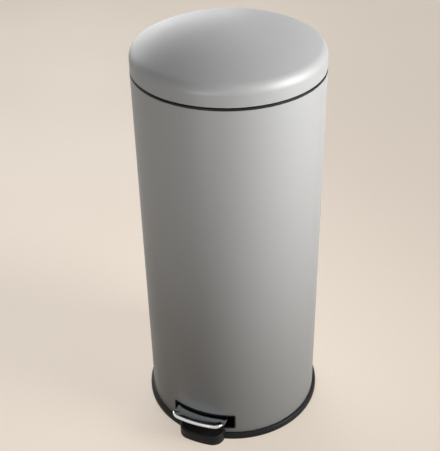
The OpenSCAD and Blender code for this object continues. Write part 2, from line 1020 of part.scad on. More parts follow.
// The lip slopes down to the tread at both ends
module lip_ends() {
    translate([0, -body_r - lip_gap, tread_z])
        rotate([-lip_slope, 0, 0])
            block([-slot_w, -pedal_reach * 2, 0], [slot_w, pedal_reach, pedal_reach]);
}

// The pedal's outline, moved out from the middle of its rolled edge by grow
module pedal_outline(grow, back) {
    arc_front(pedal_r + grow, pedal_half + grow, pedal_corner + grow, back);
}

module pedal_rivets() {
    color(steel_grey)
        pedal_rivet_places() {
            translate([0, 0, -tongue_t - over])
                cylinder(d = rivet_d, h = tongue_t + plate_t + 2 * over);
            translate([0, 0, plate_t + seat_gap / 2])
                cylinder(d = rivet_head_d, h = rivet_head_h);
            translate([0, 0, -tongue_t - rivet_head_h - seat_gap / 2])
                cylinder(d = rivet_tail_d, h = rivet_head_h);
        }
}

module inner_bucket() {
    color(bucket_grey)
        difference() {
            union() {
                rotate_extrude()
                    polygon([
                        [0, bucket_z], [bucket_bottom_r, bucket_z],
                        [bucket_top_r, bucket_top - bucket_rim_h], [bucket_rim_r, bucket_top - bucket_rim_h],
                        [bucket_rim_r, bucket_top], [bucket_top_r - bucket_t, bucket_top],
                        [bucket_bottom_r - bucket_t, bucket_z + bucket_t], [0, bucket_z + bucket_t]
                    ]);
                for (side = [0, 1])
                    mirror([side, 0, 0])
                        bail_ear();
            }
            bar_x(bail_d + 2 * rod_gap, -bail_ear_out - over / 2, bail_ear_out + over / 2, 0, bail_z);
        }
}

// Lug inside the bucket's rim that carries one end of the bail
module bail_ear() {
    translate([(bail_ear_in + bail_ear_out) / 2, 0, 0])
        across(bail_ear_t) {
            translate([0, bail_z])
                circle(r = bail_ear_r);
            translate([-bail_ear_r, bucket_top - bail_ear_drop])
                square([2 * bail_ear_r, bail_z - bucket_top + bail_ear_drop]);
        }
    block([bail_ear_in, -bail_ear_r, bucket_top - bail_ear_drop],
        [bucket_top_r - bucket_t / 2, bail_ear_r, bucket_top]);
}

module bail_wire() {
    color(steel_grey)
        translate([0, 0, bail_z]) {
            rotate([0, 0, 180])
                rotate_extrude(angle = 180)
                    translate([bail_r, 0])
                        circle(d = bail_d);
            for (side = [0, 1])
                mirror([side, 0, 0]) {
                    translate([bail_r, 0, 0])
                        sphere(d = bail_d);
                    bar_x(bail_d, bail_ear_in - bail_pin_past, bail_r, 0, 0);
                }
        }
}

module bail_grip() {
    color(black_plastic)
        translate([0, 0, bail_z])
            rotate([0, 0, -90 - grip_angle / 2])
                rotate_extrude(angle = grip_angle)
                    translate([bail_r, 0])
                        difference() {
                            circle(d = grip_d);
                            circle(d = bail_d + 2 * run_fit);
                        }
}

body_shell();
rim_ring();
base_pan();
foot_pads();
bucket_deck();
deck_screws();
slot_trim();
hinge_housing();
backing_plate();
housing_screws();
hinge_pin();
pin_caps();
rod_guides();
guide_rivets();
pedal_axle();
axle_clips();
lid_dome();
lid_liner();
lid_hinge();
hinge_screws();
lid_buffers();
lift_rod();
rod_clips();
pedal_lever();
pedal_plate();
pedal_rivets();
inner_bucket();
bail_wire();
bail_grip();
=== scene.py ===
# %% [markdown]
# # A round pedal bin, dressed for its picture
#
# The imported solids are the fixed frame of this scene: they say where every piece sits and how it moves.
# Here each surface that can be seen gets a finer mesh and a finish made of nodes, and the bin is lit
# and photographed. Every length is in metres. Places come from the frame's boxes, and the sizes that a box
# can't tell are written out.

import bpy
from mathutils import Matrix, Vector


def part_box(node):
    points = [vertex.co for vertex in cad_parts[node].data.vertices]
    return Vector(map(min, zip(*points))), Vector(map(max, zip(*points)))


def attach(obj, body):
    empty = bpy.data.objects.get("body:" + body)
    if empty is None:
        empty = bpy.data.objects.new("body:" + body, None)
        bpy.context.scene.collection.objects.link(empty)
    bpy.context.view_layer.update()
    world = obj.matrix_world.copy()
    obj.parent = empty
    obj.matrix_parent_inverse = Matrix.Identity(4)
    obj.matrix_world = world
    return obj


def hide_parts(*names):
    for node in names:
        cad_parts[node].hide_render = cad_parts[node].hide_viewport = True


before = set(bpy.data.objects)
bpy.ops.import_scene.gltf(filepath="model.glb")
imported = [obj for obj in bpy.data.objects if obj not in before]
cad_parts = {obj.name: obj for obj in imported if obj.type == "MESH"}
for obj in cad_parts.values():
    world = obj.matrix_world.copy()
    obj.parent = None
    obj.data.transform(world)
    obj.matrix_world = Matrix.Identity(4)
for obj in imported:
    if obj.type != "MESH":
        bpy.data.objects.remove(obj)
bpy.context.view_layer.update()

# %% Tools and units
import math

import bmesh
import bpy
from mathutils import Matrix, Vector

MM = 0.001
TINY = 1e-7
scene = bpy.context.scene
print("Blender:", bpy.app.version_string)

# %% [markdown]
# ## Finishes
#
# A finish needs three things to look real at arm's length: a colour that is not quite even, a gloss that is
# not quite even, and a fine relief. Painting images would do it, but they stretch on a curved sheet. Noise
# that is read in the object's own space has no seam and keeps its real scale, so one helper builds every
# finish from a fine grain for tone and relief, and a broad cloud for gloss.

# %% A helper for finishes
NOISE_SPAN = (0.3, 0.7)
FINE_DETAIL, BROAD_DETAIL = 3.0, 2.0
BUMP_STRENGTH = 0.5


def make_finish(name, tones, grain, gloss, cloud=9.0, relief=0.0, metal=0.0, shine=0.5, stretch=(1, 1, 1)):
    """tones: dark and light colour; grain: size of the fine pattern in metres; gloss: lowest and highest
    roughness; cloud: how many broad patches there are to a metre; relief: height of the grain in metres;
    shine: strength of the surface's own reflection; stretch: how much finer the grain is along X, Y and Z."""
    finish = bpy.data.materials.new(name)
    finish.use_nodes = True
    nodes, link = finish.node_tree.nodes, finish.node_tree.links.new
    shader = nodes["Principled BSDF"]
    shader.inputs["Metallic"].default_value = metal
    shader.inputs["Specular IOR Level"].default_value = shine
    space = nodes.new("ShaderNodeTexCoord").outputs["Object"]
    stretched = nodes.new("ShaderNodeMapping")
    stretched.inputs["Scale"].default_value = stretch
    link(space, stretched.inputs["Vector"])

    fine = nodes.new("ShaderNodeTexNoise")
    fine.inputs["Scale"].default_value = 1 / grain
    fine.inputs["Detail"].default_value = FINE_DETAIL
    link(stretched.outputs["Vector"], fine.inputs["Vector"])
    broad = nodes.new("ShaderNodeTexNoise")
    broad.inputs["Scale"].default_value = cloud
    broad.inputs["Detail"].default_value = BROAD_DETAIL
    link(space, broad.inputs["Vector"])

    tone = nodes.new("ShaderNodeValToRGB")
    for stop, place, colour in zip(tone.color_ramp.elements, NOISE_SPAN, tones):
        stop.position, stop.color = place, (*colour, 1)
    link(fine.outputs["Fac"], tone.inputs["Fac"])
    link(tone.outputs["Color"], shader.inputs["Base Color"])

    rough = nodes.new("ShaderNodeMapRange")
    rough.inputs["From Min"].default_value, rough.inputs["From Max"].default_value = NOISE_SPAN
    rough.inputs["To Min"].default_value, rough.inputs["To Max"].default_value = gloss
    link(broad.outputs["Fac"], rough.inputs["Value"])
    link(rough.outputs["Result"], shader.inputs["Roughness"])

    if relief:
        bump = nodes.new("ShaderNodeBump")
        bump.inputs["Strength"].default_value = BUMP_STRENGTH
        bump.inputs["Distance"].default_value = relief
        link(fine.outputs["Fac"], bump.inputs["Height"])
        link(bump.outputs["Normal"], shader.inputs["Normal"])
    return finish


# %% [markdown]
# The body and lid are sheet steel with a matt silver lacquer: fine metal flakes in paint. A full metal would
# show only what it mirrors, so the lacquer is mostly a plain grey, with a small share of metal and a wide,
# soft highlight. The pedal is chrome, which shows sharp reflections with a few faint smears. The base, rim,
# trim and hinge are black mouldings with a fine spark-eroded grain.

# %% The finishes of this bin
silver = make_finish("satin_silver", ((0.36, 0.36, 0.357), (0.40, 0.40, 0.397)), 0.5 * MM, (0.44, 0.50),
                     relief=0.004 * MM, metal=0.12, shine=0.25)
black = make_finish("black_moulding", ((0.010, 0.010, 0.010), (0.018, 0.018, 0.018)), 0.45 * MM, (0.40, 0.52),
                    relief=0.02 * MM, shine=0.2)
dark = make_finish("dark_moulding", ((0.028, 0.028, 0.030), (0.045, 0.045, 0.048)), 0.6 * MM, (0.45, 0.58),
                   relief=0.03 * MM)
bucket_grey = make_finish("bucket_moulding", ((0.030, 0.032, 0.034), (0.042, 0.044, 0.047)), 1.2 * MM,
                          (0.42, 0.55), relief=0.03 * MM, stretch=(1, 1, 0.12))
rubber = make_finish("black_rubber", ((0.008, 0.008, 0.008), (0.022, 0.022, 0.022)), 0.8 * MM, (0.75, 0.9),
                     relief=0.05 * MM)
zinc = make_finish("zinc_steel", ((0.42, 0.43, 0.45), (0.58, 0.59, 0.61)), 1.5 * MM, (0.28, 0.42),
                   relief=0.006 * MM, metal=1.0, stretch=(0.15, 1, 1))
chrome = make_finish("chrome", ((0.70, 0.71, 0.73), (0.76, 0.77, 0.79)), 6 * MM, (0.05, 0.12), cloud=60,
                     metal=1.0)
print("finishes:", ", ".join(m.name for m in (silver, black, dark, bucket_grey, rubber, zinc, chrome)))

# %% [markdown]
# ## Node trees that make the shapes
#
# Almost everything on this bin was turned, swept or repeated: the sheet is rolled, the mouldings are round,
# the wire is bent along a path, and the screws are all alike. So three small trees make most pieces: one
# turns a profile about the bin's axis, one sweeps a rounded bar along a path, and one sets copies at points.
# The bar may carry ridges, or thin towards its ends. Modelling each piece by hand would take longer, and no
# size could be changed later.

# %% Helpers for node trees
MERGE = 1e-6


def new_tree(name, inputs):
    """An empty tree with a geometry input, the named inputs and a geometry output."""
    tree = bpy.data.node_groups.new(name, "GeometryNodeTree")
    tree.interface.new_socket("Geometry", in_out="INPUT", socket_type="NodeSocketGeometry")
    for label, kind in inputs.items():
        tree.interface.new_socket(label, in_out="INPUT", socket_type="NodeSocket" + kind)
    tree.interface.new_socket("Geometry", in_out="OUTPUT", socket_type="NodeSocketGeometry")
    return tree, tree.nodes.new("NodeGroupInput").outputs


def add_node(tree, kind, sockets, **settings):
    """A node with its settings, and each named socket linked or set."""
    node = tree.nodes.new(kind)
    for key, value in settings.items():
        setattr(node, key, value)
    for label, source in sockets.items():
        if isinstance(source, bpy.types.NodeSocket):
            tree.links.new(source, node.inputs[label])
        else:
            node.inputs[label].default_value = source
    return node


def end_tree(tree, geometry, material):
    """Merges doubled points, shades smooth, realizes instances and sets the finish."""
    merged = add_node(tree, "GeometryNodeMergeByDistance", {"Geometry": geometry, "Distance": MERGE})
    smooth = add_node(tree, "GeometryNodeSetShadeSmooth", {"Geometry": merged.outputs["Geometry"]})
    real = add_node(tree, "GeometryNodeRealizeInstances", {"Geometry": smooth.outputs["Geometry"]})
    painted = add_node(tree, "GeometryNodeSetMaterial",
                       {"Geometry": real.outputs["Geometry"], "Material": material})
    add_node(tree, "NodeGroupOutput", {"Geometry": painted.outputs["Geometry"]})
    print("tree:", tree.name, "nodes:", len(tree.nodes))


# %% The turning tree
turning, given = new_tree("turning", {"Path Radius": "Float", "Segments": "Int", "Rounding Steps": "Int",
                                      "Material": "Material"})
outline = add_node(turning, "GeometryNodeMeshToCurve", {"Mesh": given["Geometry"]})
rounding = add_node(turning, "GeometryNodeInputNamedAttribute", {"Name": "rounding"}, data_type="FLOAT")
rounded = add_node(turning, "GeometryNodeFilletCurve", {
    "Curve": outline.outputs["Curve"], "Radius": rounding.outputs["Attribute"],
    "Count": given["Rounding Steps"], "Limit Radius": True}, mode="POLY")
circle = add_node(turning, "GeometryNodeCurvePrimitiveCircle", {
    "Radius": given["Path Radius"], "Resolution": given["Segments"]})
spun = add_node(turning, "GeometryNodeCurveToMesh", {
    "Curve": circle.outputs["Curve"], "Profile Curve": rounded.outputs["Curve"]})
end_tree(turning, spun.outputs["Mesh"], given["Material"])

# %% The sweeping tree
BEND_STEPS, BAR_STEPS = 10, 8
sweeping, given = new_tree("sweeping", {
    "Width": "Float", "Height": "Float", "Corner": "Float", "Path Points": "Int", "Ridges": "Float",
    "Ridge Depth": "Float", "Taper": "Float", "End Cut": "Float", "Material": "Material"})
path = add_node(sweeping, "GeometryNodeMeshToCurve", {"Mesh": given["Geometry"]})
bend = add_node(sweeping, "GeometryNodeInputNamedAttribute", {"Name": "rounding"}, data_type="FLOAT")
bent = add_node(sweeping, "GeometryNodeFilletCurve", {
    "Curve": path.outputs["Curve"], "Radius": bend.outputs["Attribute"], "Count": BEND_STEPS,
    "Limit Radius": True}, mode="POLY")
even = add_node(sweeping, "GeometryNodeResampleCurve", {
    "Curve": bent.outputs["Curve"], "Count": given["Path Points"]})
level = add_node(sweeping, "GeometryNodeSetCurveNormal", {"Curve": even.outputs["Curve"]}, mode="Z_UP")
bar = add_node(sweeping, "GeometryNodeCurvePrimitiveQuadrilateral", {
    "Width": given["Width"], "Height": given["Height"]})
soft_bar = add_node(sweeping, "GeometryNodeFilletCurve", {
    "Curve": bar.outputs["Curve"], "Radius": given["Corner"], "Count": BAR_STEPS, "Limit Radius": True},
    mode="POLY")
along = add_node(sweeping, "GeometryNodeSplineParameter", {})
factor = along.outputs["Factor"]


def maths(operation, first, second=0.0):
    """The result of a Math node in the sweeping tree."""
    return add_node(sweeping, "ShaderNodeMath", {0: first, 1: second}, operation=operation).outputs[0]


wave = maths("MULTIPLY", maths("MULTIPLY", factor, given["Ridges"]), 2 * math.pi)
ridge = maths("MULTIPLY", maths("COSINE", wave), given["Ridge Depth"])
from_end = maths("MINIMUM", factor, maths("SUBTRACT", 1.0, factor))
thinned = add_node(sweeping, "ShaderNodeMapRange", {
    "Value": from_end, "From Min": 0.0, "From Max": given["Taper"], "To Min": given["End Cut"],
    "To Max": 0.0}, interpolation_type="SMOOTHSTEP")
size = maths("SUBTRACT", maths("SUBTRACT", 1.0, thinned.outputs["Result"]), ridge)
swept = add_node(sweeping, "GeometryNodeCurveToMesh", {
    "Curve": level.outputs["Curve"], "Profile Curve": soft_bar.outputs["Curve"], "Scale": size,
    "Fill Caps": True})
end_tree(sweeping, swept.outputs["Mesh"], given["Material"])

# %% The copying tree
copying, given = new_tree("copying", {"Shape": "Object", "Material": "Material"})
shape = add_node(copying, "GeometryNodeObjectInfo", {"Object": given["Shape"]})
points = add_node(copying, "GeometryNodeMeshToPoints", {"Mesh": given["Geometry"]})
way = add_node(copying, "GeometryNodeInputNamedAttribute", {"Name": "way"}, data_type="FLOAT_VECTOR")
aim = add_node(copying, "FunctionNodeAlignRotationToVector", {"Vector": way.outputs["Attribute"]}, axis="Z")
copies = add_node(copying, "GeometryNodeInstanceOnPoints", {
    "Points": points.outputs["Points"], "Instance": shape.outputs["Geometry"],
    "Rotation": aim.outputs["Rotation"]})
loose = add_node(copying, "GeometryNodeRealizeInstances", {"Geometry": copies.outputs["Instances"]})
end_tree(copying, loose.outputs["Geometry"], given["Material"])

# %% [markdown]
# ## Helpers for pieces
#
# A tree's result is made a plain mesh straight away, because the finished model carries no live node trees.
# Cuts and joins are Boolean modifiers that are applied at once. The last step marks creases by angle and
# weighs the normals by face area, so that a long flat wall stays flat beside its small rounded edges.

# %% Making a piece
def new_object(name, data):
    """An object of this mesh, lamp or camera, in the scene."""
    made = bpy.data.objects.new(name, data)
    scene.collection.objects.link(made)
    return made


def from_bmesh(name, shell, material=None):
    """An object made from a bmesh, which is freed."""
    mesh = bpy.data.meshes.new(name)
    shell.to_mesh(mesh)
    shell.free()
    if material:
        mesh.materials.append(material)
    return new_object(name, mesh)


def flatten(piece):
    """Turns the piece with its modifiers into a plain mesh."""
    graph = bpy.context.evaluated_depsgraph_get()
    mesh = bpy.data.meshes.new_from_object(piece.evaluated_get(graph))
    piece.modifiers.clear()
    piece.data = mesh
    return mesh


def settle(piece):
    """Turns the piece with its modifiers into a plain closed mesh with its faces outwards."""
    mesh = flatten(piece)
    shell = bmesh.new()
    shell.from_mesh(mesh)
    bmesh.ops.dissolve_degenerate(shell, edges=shell.edges, dist=TINY)
    bmesh.ops.delete(shell, geom=[v for v in shell.verts if not v.link_faces], context="VERTS")
    bmesh.ops.delete(shell, geom=[e for e in shell.edges if not e.link_faces], context="EDGES")
    bmesh.ops.recalc_face_normals(shell, faces=shell.faces)
    shell.to_mesh(mesh)
    shell.free()
    return piece


def grow(name, mesh, tree, **inputs):
    """A mesh sent through one of the trees; the inputs are set by their identifiers."""
    piece = new_object(name, mesh)
    modifier = piece.modifiers.new(tree.name, "NODES")
    modifier.node_group = tree
    names = {s.name: s.identifier for s in tree.interface.items_tree if s.in_out == "INPUT"}
    for label, value in inputs.items():
        modifier[names[label.replace("_", " ").title()]] = value
    return settle(piece)


def line_mesh(name, places, roundings, closed):
    """Points joined by edges, with the rounding that each corner gets."""
    mesh = bpy.data.meshes.new(name)
    count = len(places)
    edges = [(i, (i + 1) % count) for i in range(count if closed else count - 1)]
    mesh.from_pydata(places, edges, [])
    mesh.attributes.new("rounding", "FLOAT", "POINT").data.foreach_set("value", roundings)
    return mesh


TURN_PATH = 0.1


def turn(name, profile, material, segments=256, steps=6):
    """A closed profile of (radius, height, rounding) turned about the bin's axis."""
    places = [(r - TURN_PATH, -z, 0) for r, z, _ in profile]
    mesh = line_mesh(name, places, [q for _, _, q in profile], True)
    return grow(name, mesh, turning, path_radius=TURN_PATH, segments=segments, rounding_steps=steps,
                material=material)


def combine(piece, tools, operation):
    """Cuts the tools out of the piece, or joins them to it, and deletes the tools."""
    for tool in tools:
        modifier = piece.modifiers.new(operation.lower(), "BOOLEAN")
        modifier.operation = operation
        modifier.solver = "EXACT"
        modifier.object = tool
    settle(piece)
    for tool in tools:
        bpy.data.objects.remove(tool)
    return piece


def dress(piece, body, nodes, crease=38.0, weigh=True):
    """Last shading of a piece, then its body, and the solids that it stands for are hidden."""
    piece.data.shade_smooth()
    piece.data.set_sharp_from_angle(angle=math.radians(crease))
    if weigh:
        weighted = piece.modifiers.new("weigh", "WEIGHTED_NORMAL")
        weighted.keep_sharp = True
        flatten(piece)
    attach(piece, body)
    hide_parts(*nodes)
    span = [round((max(c) - min(c)) / MM, 1) for c in zip(*(v.co for v in piece.data.vertices))]
    print(f"{piece.name}: {len(piece.data.polygons)} faces, {span} mm, on {body}")
    return piece


# %% Plain tools for cutting and joining
def box_tool(low, high):
    """A box from corner to corner."""
    shell = bmesh.new()
    bmesh.ops.create_cube(shell, size=1)
    low, high = Vector(low), Vector(high)
    spread = Matrix.Diagonal((high - low).to_4d())
    bmesh.ops.transform(shell, matrix=Matrix.Translation((low + high) / 2) @ spread, verts=shell.verts)
    return from_bmesh("tool", shell)


def prism(name, outline, low, high, edge=0.0, ends=(False, True), keep=None, material=None):
    """An outline in X and Y raised from low to high; the edges of its ends are rounded by edge, except
    where keep says that both points of an edge stay sharp."""
    shell = bmesh.new()
    foot = [shell.verts.new((x, y, low)) for x, y in outline]
    face = shell.faces.new(foot)
    raised = bmesh.ops.extrude_face_region(shell, geom=[face])["geom"]
    tops = [v for v in raised if isinstance(v, bmesh.types.BMVert)]
    bmesh.ops.translate(shell, vec=(0, 0, high - low), verts=tops)
    bmesh.ops.recalc_face_normals(shell, faces=shell.faces)
    if edge:
        levels = [z for z, wanted in zip((low, high), ends) if wanted]
        chosen = [e for e in shell.edges if any(all(abs(v.co.z - z) < TINY for v in e.verts) for z in levels)
                  and not (keep and all(keep(v.co) for v in e.verts))]
        bmesh.ops.bevel(shell, geom=chosen, offset=edge, segments=4, profile=0.5, affect="EDGES",
                        clamp_overlap=True)
    return from_bmesh(name, shell, material)


# %% [markdown]
# ## The body
#
# The body is one sheet, rolled into a tube and welded. A tube primitive would do, but its cut edges would be
# razor sharp, so the tube is turned from a thin profile with broken edges. The pedal's slot and the notch
# for the lid's horn are cut afterwards.

# %% The shell
SHEET = 0.8 * MM
BROKEN_EDGE = 0.25 * MM
CUT = 2 * MM
shell_low, shell_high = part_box("body_shell")
SHELL_R = shell_high.x
trim_low, trim_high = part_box("slot_trim")
TRIM_FACE = 1.6 * MM
slot_half = trim_high.x - TRIM_FACE
slot_low, slot_high = trim_low.z + TRIM_FACE, trim_high.z - TRIM_FACE
NOTCH_HALF = 6.5 * MM
NOTCH_LOW = 601.0 * MM
shell_profile = [(r, z, BROKEN_EDGE) for r, z in (
    (SHELL_R, shell_low.z), (SHELL_R, shell_high.z), (SHELL_R - SHEET, shell_high.z),
    (SHELL_R - SHEET, shell_low.z))]
shell_sheet = turn("shell_sheet", shell_profile, silver)
combine(shell_sheet, [
    box_tool((-slot_half, -SHELL_R - CUT, slot_low), (slot_half, -SHELL_R / 2, slot_high)),
    box_tool((-NOTCH_HALF, SHELL_R / 2, NOTCH_LOW), (NOTCH_HALF, SHELL_R + CUT, shell_high.z + CUT)),
], "DIFFERENCE")
dress(shell_sheet, "bin", ["body_shell"])

# %% [markdown]
# ## The lid
#
# The lid is pressed from one sheet: a shallow crown, a rounded shoulder and a straight skirt. A squashed
# sphere would come near, but the crown and the shoulder are two arcs that meet without a kink. So the profile
# is worked out from their radii, once for the outer face and once set in by the sheet's thickness.

# %% The lid's skin
CROWN_R = 293 * MM
SHOULDER_R = 18 * MM
CROWN_STEPS = 40
SHOULDER_STEPS = 24
lid_low, lid_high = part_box("lid_dome")
LID_R = lid_high.x
crown_middle = lid_high.z - CROWN_R
shoulder_x = LID_R - SHOULDER_R
shoulder_z = crown_middle + math.sqrt((CROWN_R - SHOULDER_R) ** 2 - shoulder_x ** 2)
meeting = math.atan2(shoulder_x, shoulder_z - crown_middle)


def dome_line(inset):
    """(radius, height) from the axis over the crown and the shoulder, set in from the outer face."""
    line = []
    for i in range(CROWN_STEPS + 1):
        a = meeting * i / CROWN_STEPS
        line.append(((CROWN_R - inset) * math.sin(a), crown_middle + (CROWN_R - inset) * math.cos(a)))
    for i in range(1, SHOULDER_STEPS + 1):
        a = meeting + (math.pi / 2 - meeting) * i / SHOULDER_STEPS
        line.append((shoulder_x + (SHOULDER_R - inset) * math.sin(a),
                     shoulder_z + (SHOULDER_R - inset) * math.cos(a)))
    return line


HEM_STEP = 1.5 * MM
skirt = [(LID_R, lid_low.z + HEM_STEP, 0), (LID_R, lid_low.z, BROKEN_EDGE),
         (LID_R - SHEET, lid_low.z, BROKEN_EDGE), (LID_R - SHEET, lid_low.z + HEM_STEP, 0)]
lid_profile = [(r, z, 0) for r, z in dome_line(0)] + skirt
lid_profile += [(r, z, 0) for r, z in reversed(dome_line(SHEET))]
lid_skin = turn("lid_skin", lid_profile, silver)
LEAF_HALF = 23 * MM
LEAF_TOP = 621.5 * MM
combine(lid_skin, [box_tool((-LEAF_HALF, LID_R / 2, lid_low.z - CUT), (LEAF_HALF, LID_R + CUT, LEAF_TOP))],
        "DIFFERENCE")
dress(lid_skin, "lid", ["lid_dome"], weigh=False)

# %% [markdown]
# ## The rim
#
# A black moulded ring clips into the top of the shell, so that no sheet edge shows and the bag has something
# smooth to fold over. Under the lid it is only a dark line, but with the lid open it is the first thing seen,
# so its whole section is turned.

# %% The rim's band
rim_low, rim_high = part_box("rim_ring")
RIM_W = 9.5 * MM
SPIGOT_T = 2.5 * MM
SEAT = 0.1 * MM
SPIGOT_R = SHELL_R - SHEET - SEAT
RIM_EDGE, RIM_FOOT, RIM_INNER, SPIGOT_EDGE = 0.8 * MM, 0.2 * MM, 0.3 * MM, 0.6 * MM
rim_profile = [
    (SHELL_R, shell_high.z, RIM_FOOT), (SHELL_R, rim_high.z, RIM_EDGE),
    (SHELL_R - RIM_W, rim_high.z, RIM_EDGE), (SHELL_R - RIM_W, shell_high.z, RIM_EDGE),
    (SPIGOT_R - SPIGOT_T, shell_high.z, RIM_INNER), (SPIGOT_R - SPIGOT_T, rim_low.z, SPIGOT_EDGE),
    (SPIGOT_R, rim_low.z, SPIGOT_EDGE), (SPIGOT_R, shell_high.z, 0)]
rim_band = turn("rim_band", rim_profile, black)
ROD_NOTCH = ((-8.6 * MM, 50 * MM, shell_high.z), (20.5 * MM, 139.8 * MM, rim_high.z + CUT))
combine(rim_band, [
    box_tool((-NOTCH_HALF, SHELL_R / 2, rim_low.z - CUT), (NOTCH_HALF, SHELL_R + CUT, rim_high.z + CUT)),
    box_tool(*ROD_NOTCH),
], "DIFFERENCE")
dress(rim_band, "bin", ["rim_ring"])

# %% [markdown]
# ## The base
#
# The base is one black moulding: a floor, a ring with a rounded shoulder that the shell stands in, a wall
# that carries the bucket's deck, and a toe under the pedal that keeps the bin from tipping when it is trodden
# on. All but the toe is round, so it is one turned profile; the toe is raised from its outline and joined to
# it.

# %% Outline of a front that follows the bin's curve
def arc_front(front_r, half_width, corner, back, steps=8):
    """Points from the left back round the front to the right back, in X and Y."""
    cx = half_width - corner
    cy = math.sqrt((front_r - corner) ** 2 - cx ** 2)
    lean = math.atan2(cx, cy)
    right = []
    for i in range(4 * steps + 1):
        a = lean * i / (4 * steps)
        right.append((front_r * math.sin(a), -front_r * math.cos(a)))
    for i in range(1, steps + 1):
        a = lean + (math.pi / 2 - lean) * i / steps
        right.append((cx + corner * math.sin(a), -cy - corner * math.cos(a)))
    right.append((half_width, back))
    return [(-x, y) for x, y in reversed(right[1:])] + right


def arc_back(radius, half_width, steps=24):
    """Points on a circle about the bin's axis from the right to the left, towards the pedal."""
    end = math.asin(half_width / radius)
    turns = [end * (1 - 2 * i / steps) for i in range(steps + 1)]
    return [(radius * math.sin(a), -radius * math.cos(a)) for a in turns]


# %% The base's moulding
base_low, base_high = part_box("base_pan")
BASE_R = base_high.x
RING_TOP = 11.5 * MM
RING_ROUND = 5.5 * MM
FLOOR_TOP = 4 * MM
GROOVE_FLOOR = shell_low.z
GROOVE_IN, GROOVE_OUT = SHELL_R - SHEET - SEAT, SHELL_R + SEAT
COLLAR_T, COLLAR_TOP = 2.4 * MM, 20 * MM
WALL_R, WALL_T, WALL_TOP = 115 * MM, 3 * MM, 52 * MM
SMALL, FOOT_EDGE = 0.4 * MM, 1 * MM
base_profile = [
    (0, base_low.z, 0), (BASE_R, base_low.z, FOOT_EDGE), (BASE_R, RING_TOP, RING_ROUND),
    (GROOVE_OUT, RING_TOP, SMALL), (GROOVE_OUT, GROOVE_FLOOR, 0), (GROOVE_IN, GROOVE_FLOOR, 0),
    (GROOVE_IN, COLLAR_TOP, SMALL), (GROOVE_IN - COLLAR_T, COLLAR_TOP, SMALL),
    (GROOVE_IN - COLLAR_T, FLOOR_TOP, 0), (WALL_R, FLOOR_TOP, 0), (WALL_R, WALL_TOP, SMALL),
    (WALL_R - WALL_T, WALL_TOP, SMALL), (WALL_R - WALL_T, FLOOR_TOP, 0), (0, FLOOR_TOP, 0)]
base_moulding = turn("base_moulding", base_profile, black)
print("turned part of the base:", len(base_moulding.data.polygons), "faces")

# %% The toe, the axle's lugs and the lever's ways through the wall
TOE_HALF = 39 * MM
TOE_TOP = 19 * MM
TOE_CORNER = 20 * MM
TOE_EDGE = 4 * MM
toe_back_r = GROOVE_OUT + SEAT
toe_back = arc_back(toe_back_r, TOE_HALF)
toe_outline = arc_front(-base_low.y, TOE_HALF, TOE_CORNER, toe_back[0][1]) + toe_back[1:-1]
toe = prism("toe", toe_outline, base_low.z + SMALL, TOE_TOP, TOE_EDGE,
            keep=lambda p: p.to_2d().length < toe_back_r + SMALL, material=black)
axle_low, axle_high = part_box("pedal_axle")
axle_place = (axle_low + axle_high) / 2
LUG_IN, LUG_OUT, LUG_R = 11.5 * MM, 17 * MM, 9 * MM
lugs = [box_tool((side * LUG_OUT, axle_place.y - LUG_R, base_low.z + SMALL),
                 (side * LUG_IN, axle_place.y + LUG_R, axle_place.z + LUG_R)) for side in (-1, 1)]
combine(base_moulding, [toe] + lugs, "UNION")
WAY_TOP = 48 * MM
LEVER_HALF, TONGUE_HALF, TONGUE_BACK = 14 * MM, 19 * MM, 13 * MM
combine(base_moulding, [
    box_tool((-LEVER_HALF, 0, FLOOR_TOP), (LEVER_HALF, GROOVE_IN, WAY_TOP)),
    box_tool((-TONGUE_HALF, -WALL_R - CUT, FLOOR_TOP), (TONGUE_HALF, axle_place.y - TONGUE_BACK, WAY_TOP)),
], "DIFFERENCE")
dress(base_moulding, "bin", ["base_pan"])

# %% [markdown]
# ## The pedal's slot and the pedal
#
# A thin black frame hides the cut edge of the slot. A flat frame would stand off the round shell, so its
# cross-section is carried round a rounded rectangle that is laid on the cylinder: every point is set straight
# out from the bin's axis.

# %% The slot's frame
FRAME_PROUD = 0.9 * MM
FRAME_LIP = 0.6 * MM
FRAME_FOOT, FRAME_SIDE, FRAME_SHOULDER = 0.05 * MM, 0.5 * MM, 0.75 * MM
ROUND_IN, OUTER_STEP, INNER_STEP = 0.4 * MM, 0.15 * MM, 0.1 * MM
frame_section = [
    (TRIM_FACE, FRAME_FOOT), (TRIM_FACE, FRAME_SIDE), (TRIM_FACE - OUTER_STEP, FRAME_SHOULDER),
    (TRIM_FACE - ROUND_IN, FRAME_PROUD), (ROUND_IN - FRAME_LIP, FRAME_PROUD),
    (INNER_STEP - FRAME_LIP, FRAME_SHOULDER), (-FRAME_LIP, FRAME_SIDE), (-FRAME_LIP, -SHEET - FRAME_PROUD),
    (-SEAT, -SHEET - FRAME_PROUD), (-SEAT, FRAME_FOOT)]


def slot_loop(grow_by, corner, side_steps=28, corner_steps=5):
    """A rounded rectangle round the slot, in sideways place and height."""
    half, low, high = slot_half + grow_by, slot_low - grow_by, slot_high + grow_by
    middles = [(half - corner, high - corner), (-half + corner, high - corner),
               (-half + corner, low + corner), (half - corner, low + corner)]
    loop = []
    for i, (mx, mz) in enumerate(middles):
        for k in range(corner_steps + 1):
            a = math.pi / 2 * (i + k / corner_steps)
            loop.append((mx + corner * math.cos(a), mz + corner * math.sin(a)))
        nx, nz = middles[(i + 1) % 4]
        a = math.pi / 2 * (i + 1)
        start, end = loop[-1], (nx + corner * math.cos(a), nz + corner * math.sin(a))
        for k in range(1, side_steps):
            t = k / side_steps
            loop.append((start[0] + (end[0] - start[0]) * t, start[1] + (end[1] - start[1]) * t))
    return loop


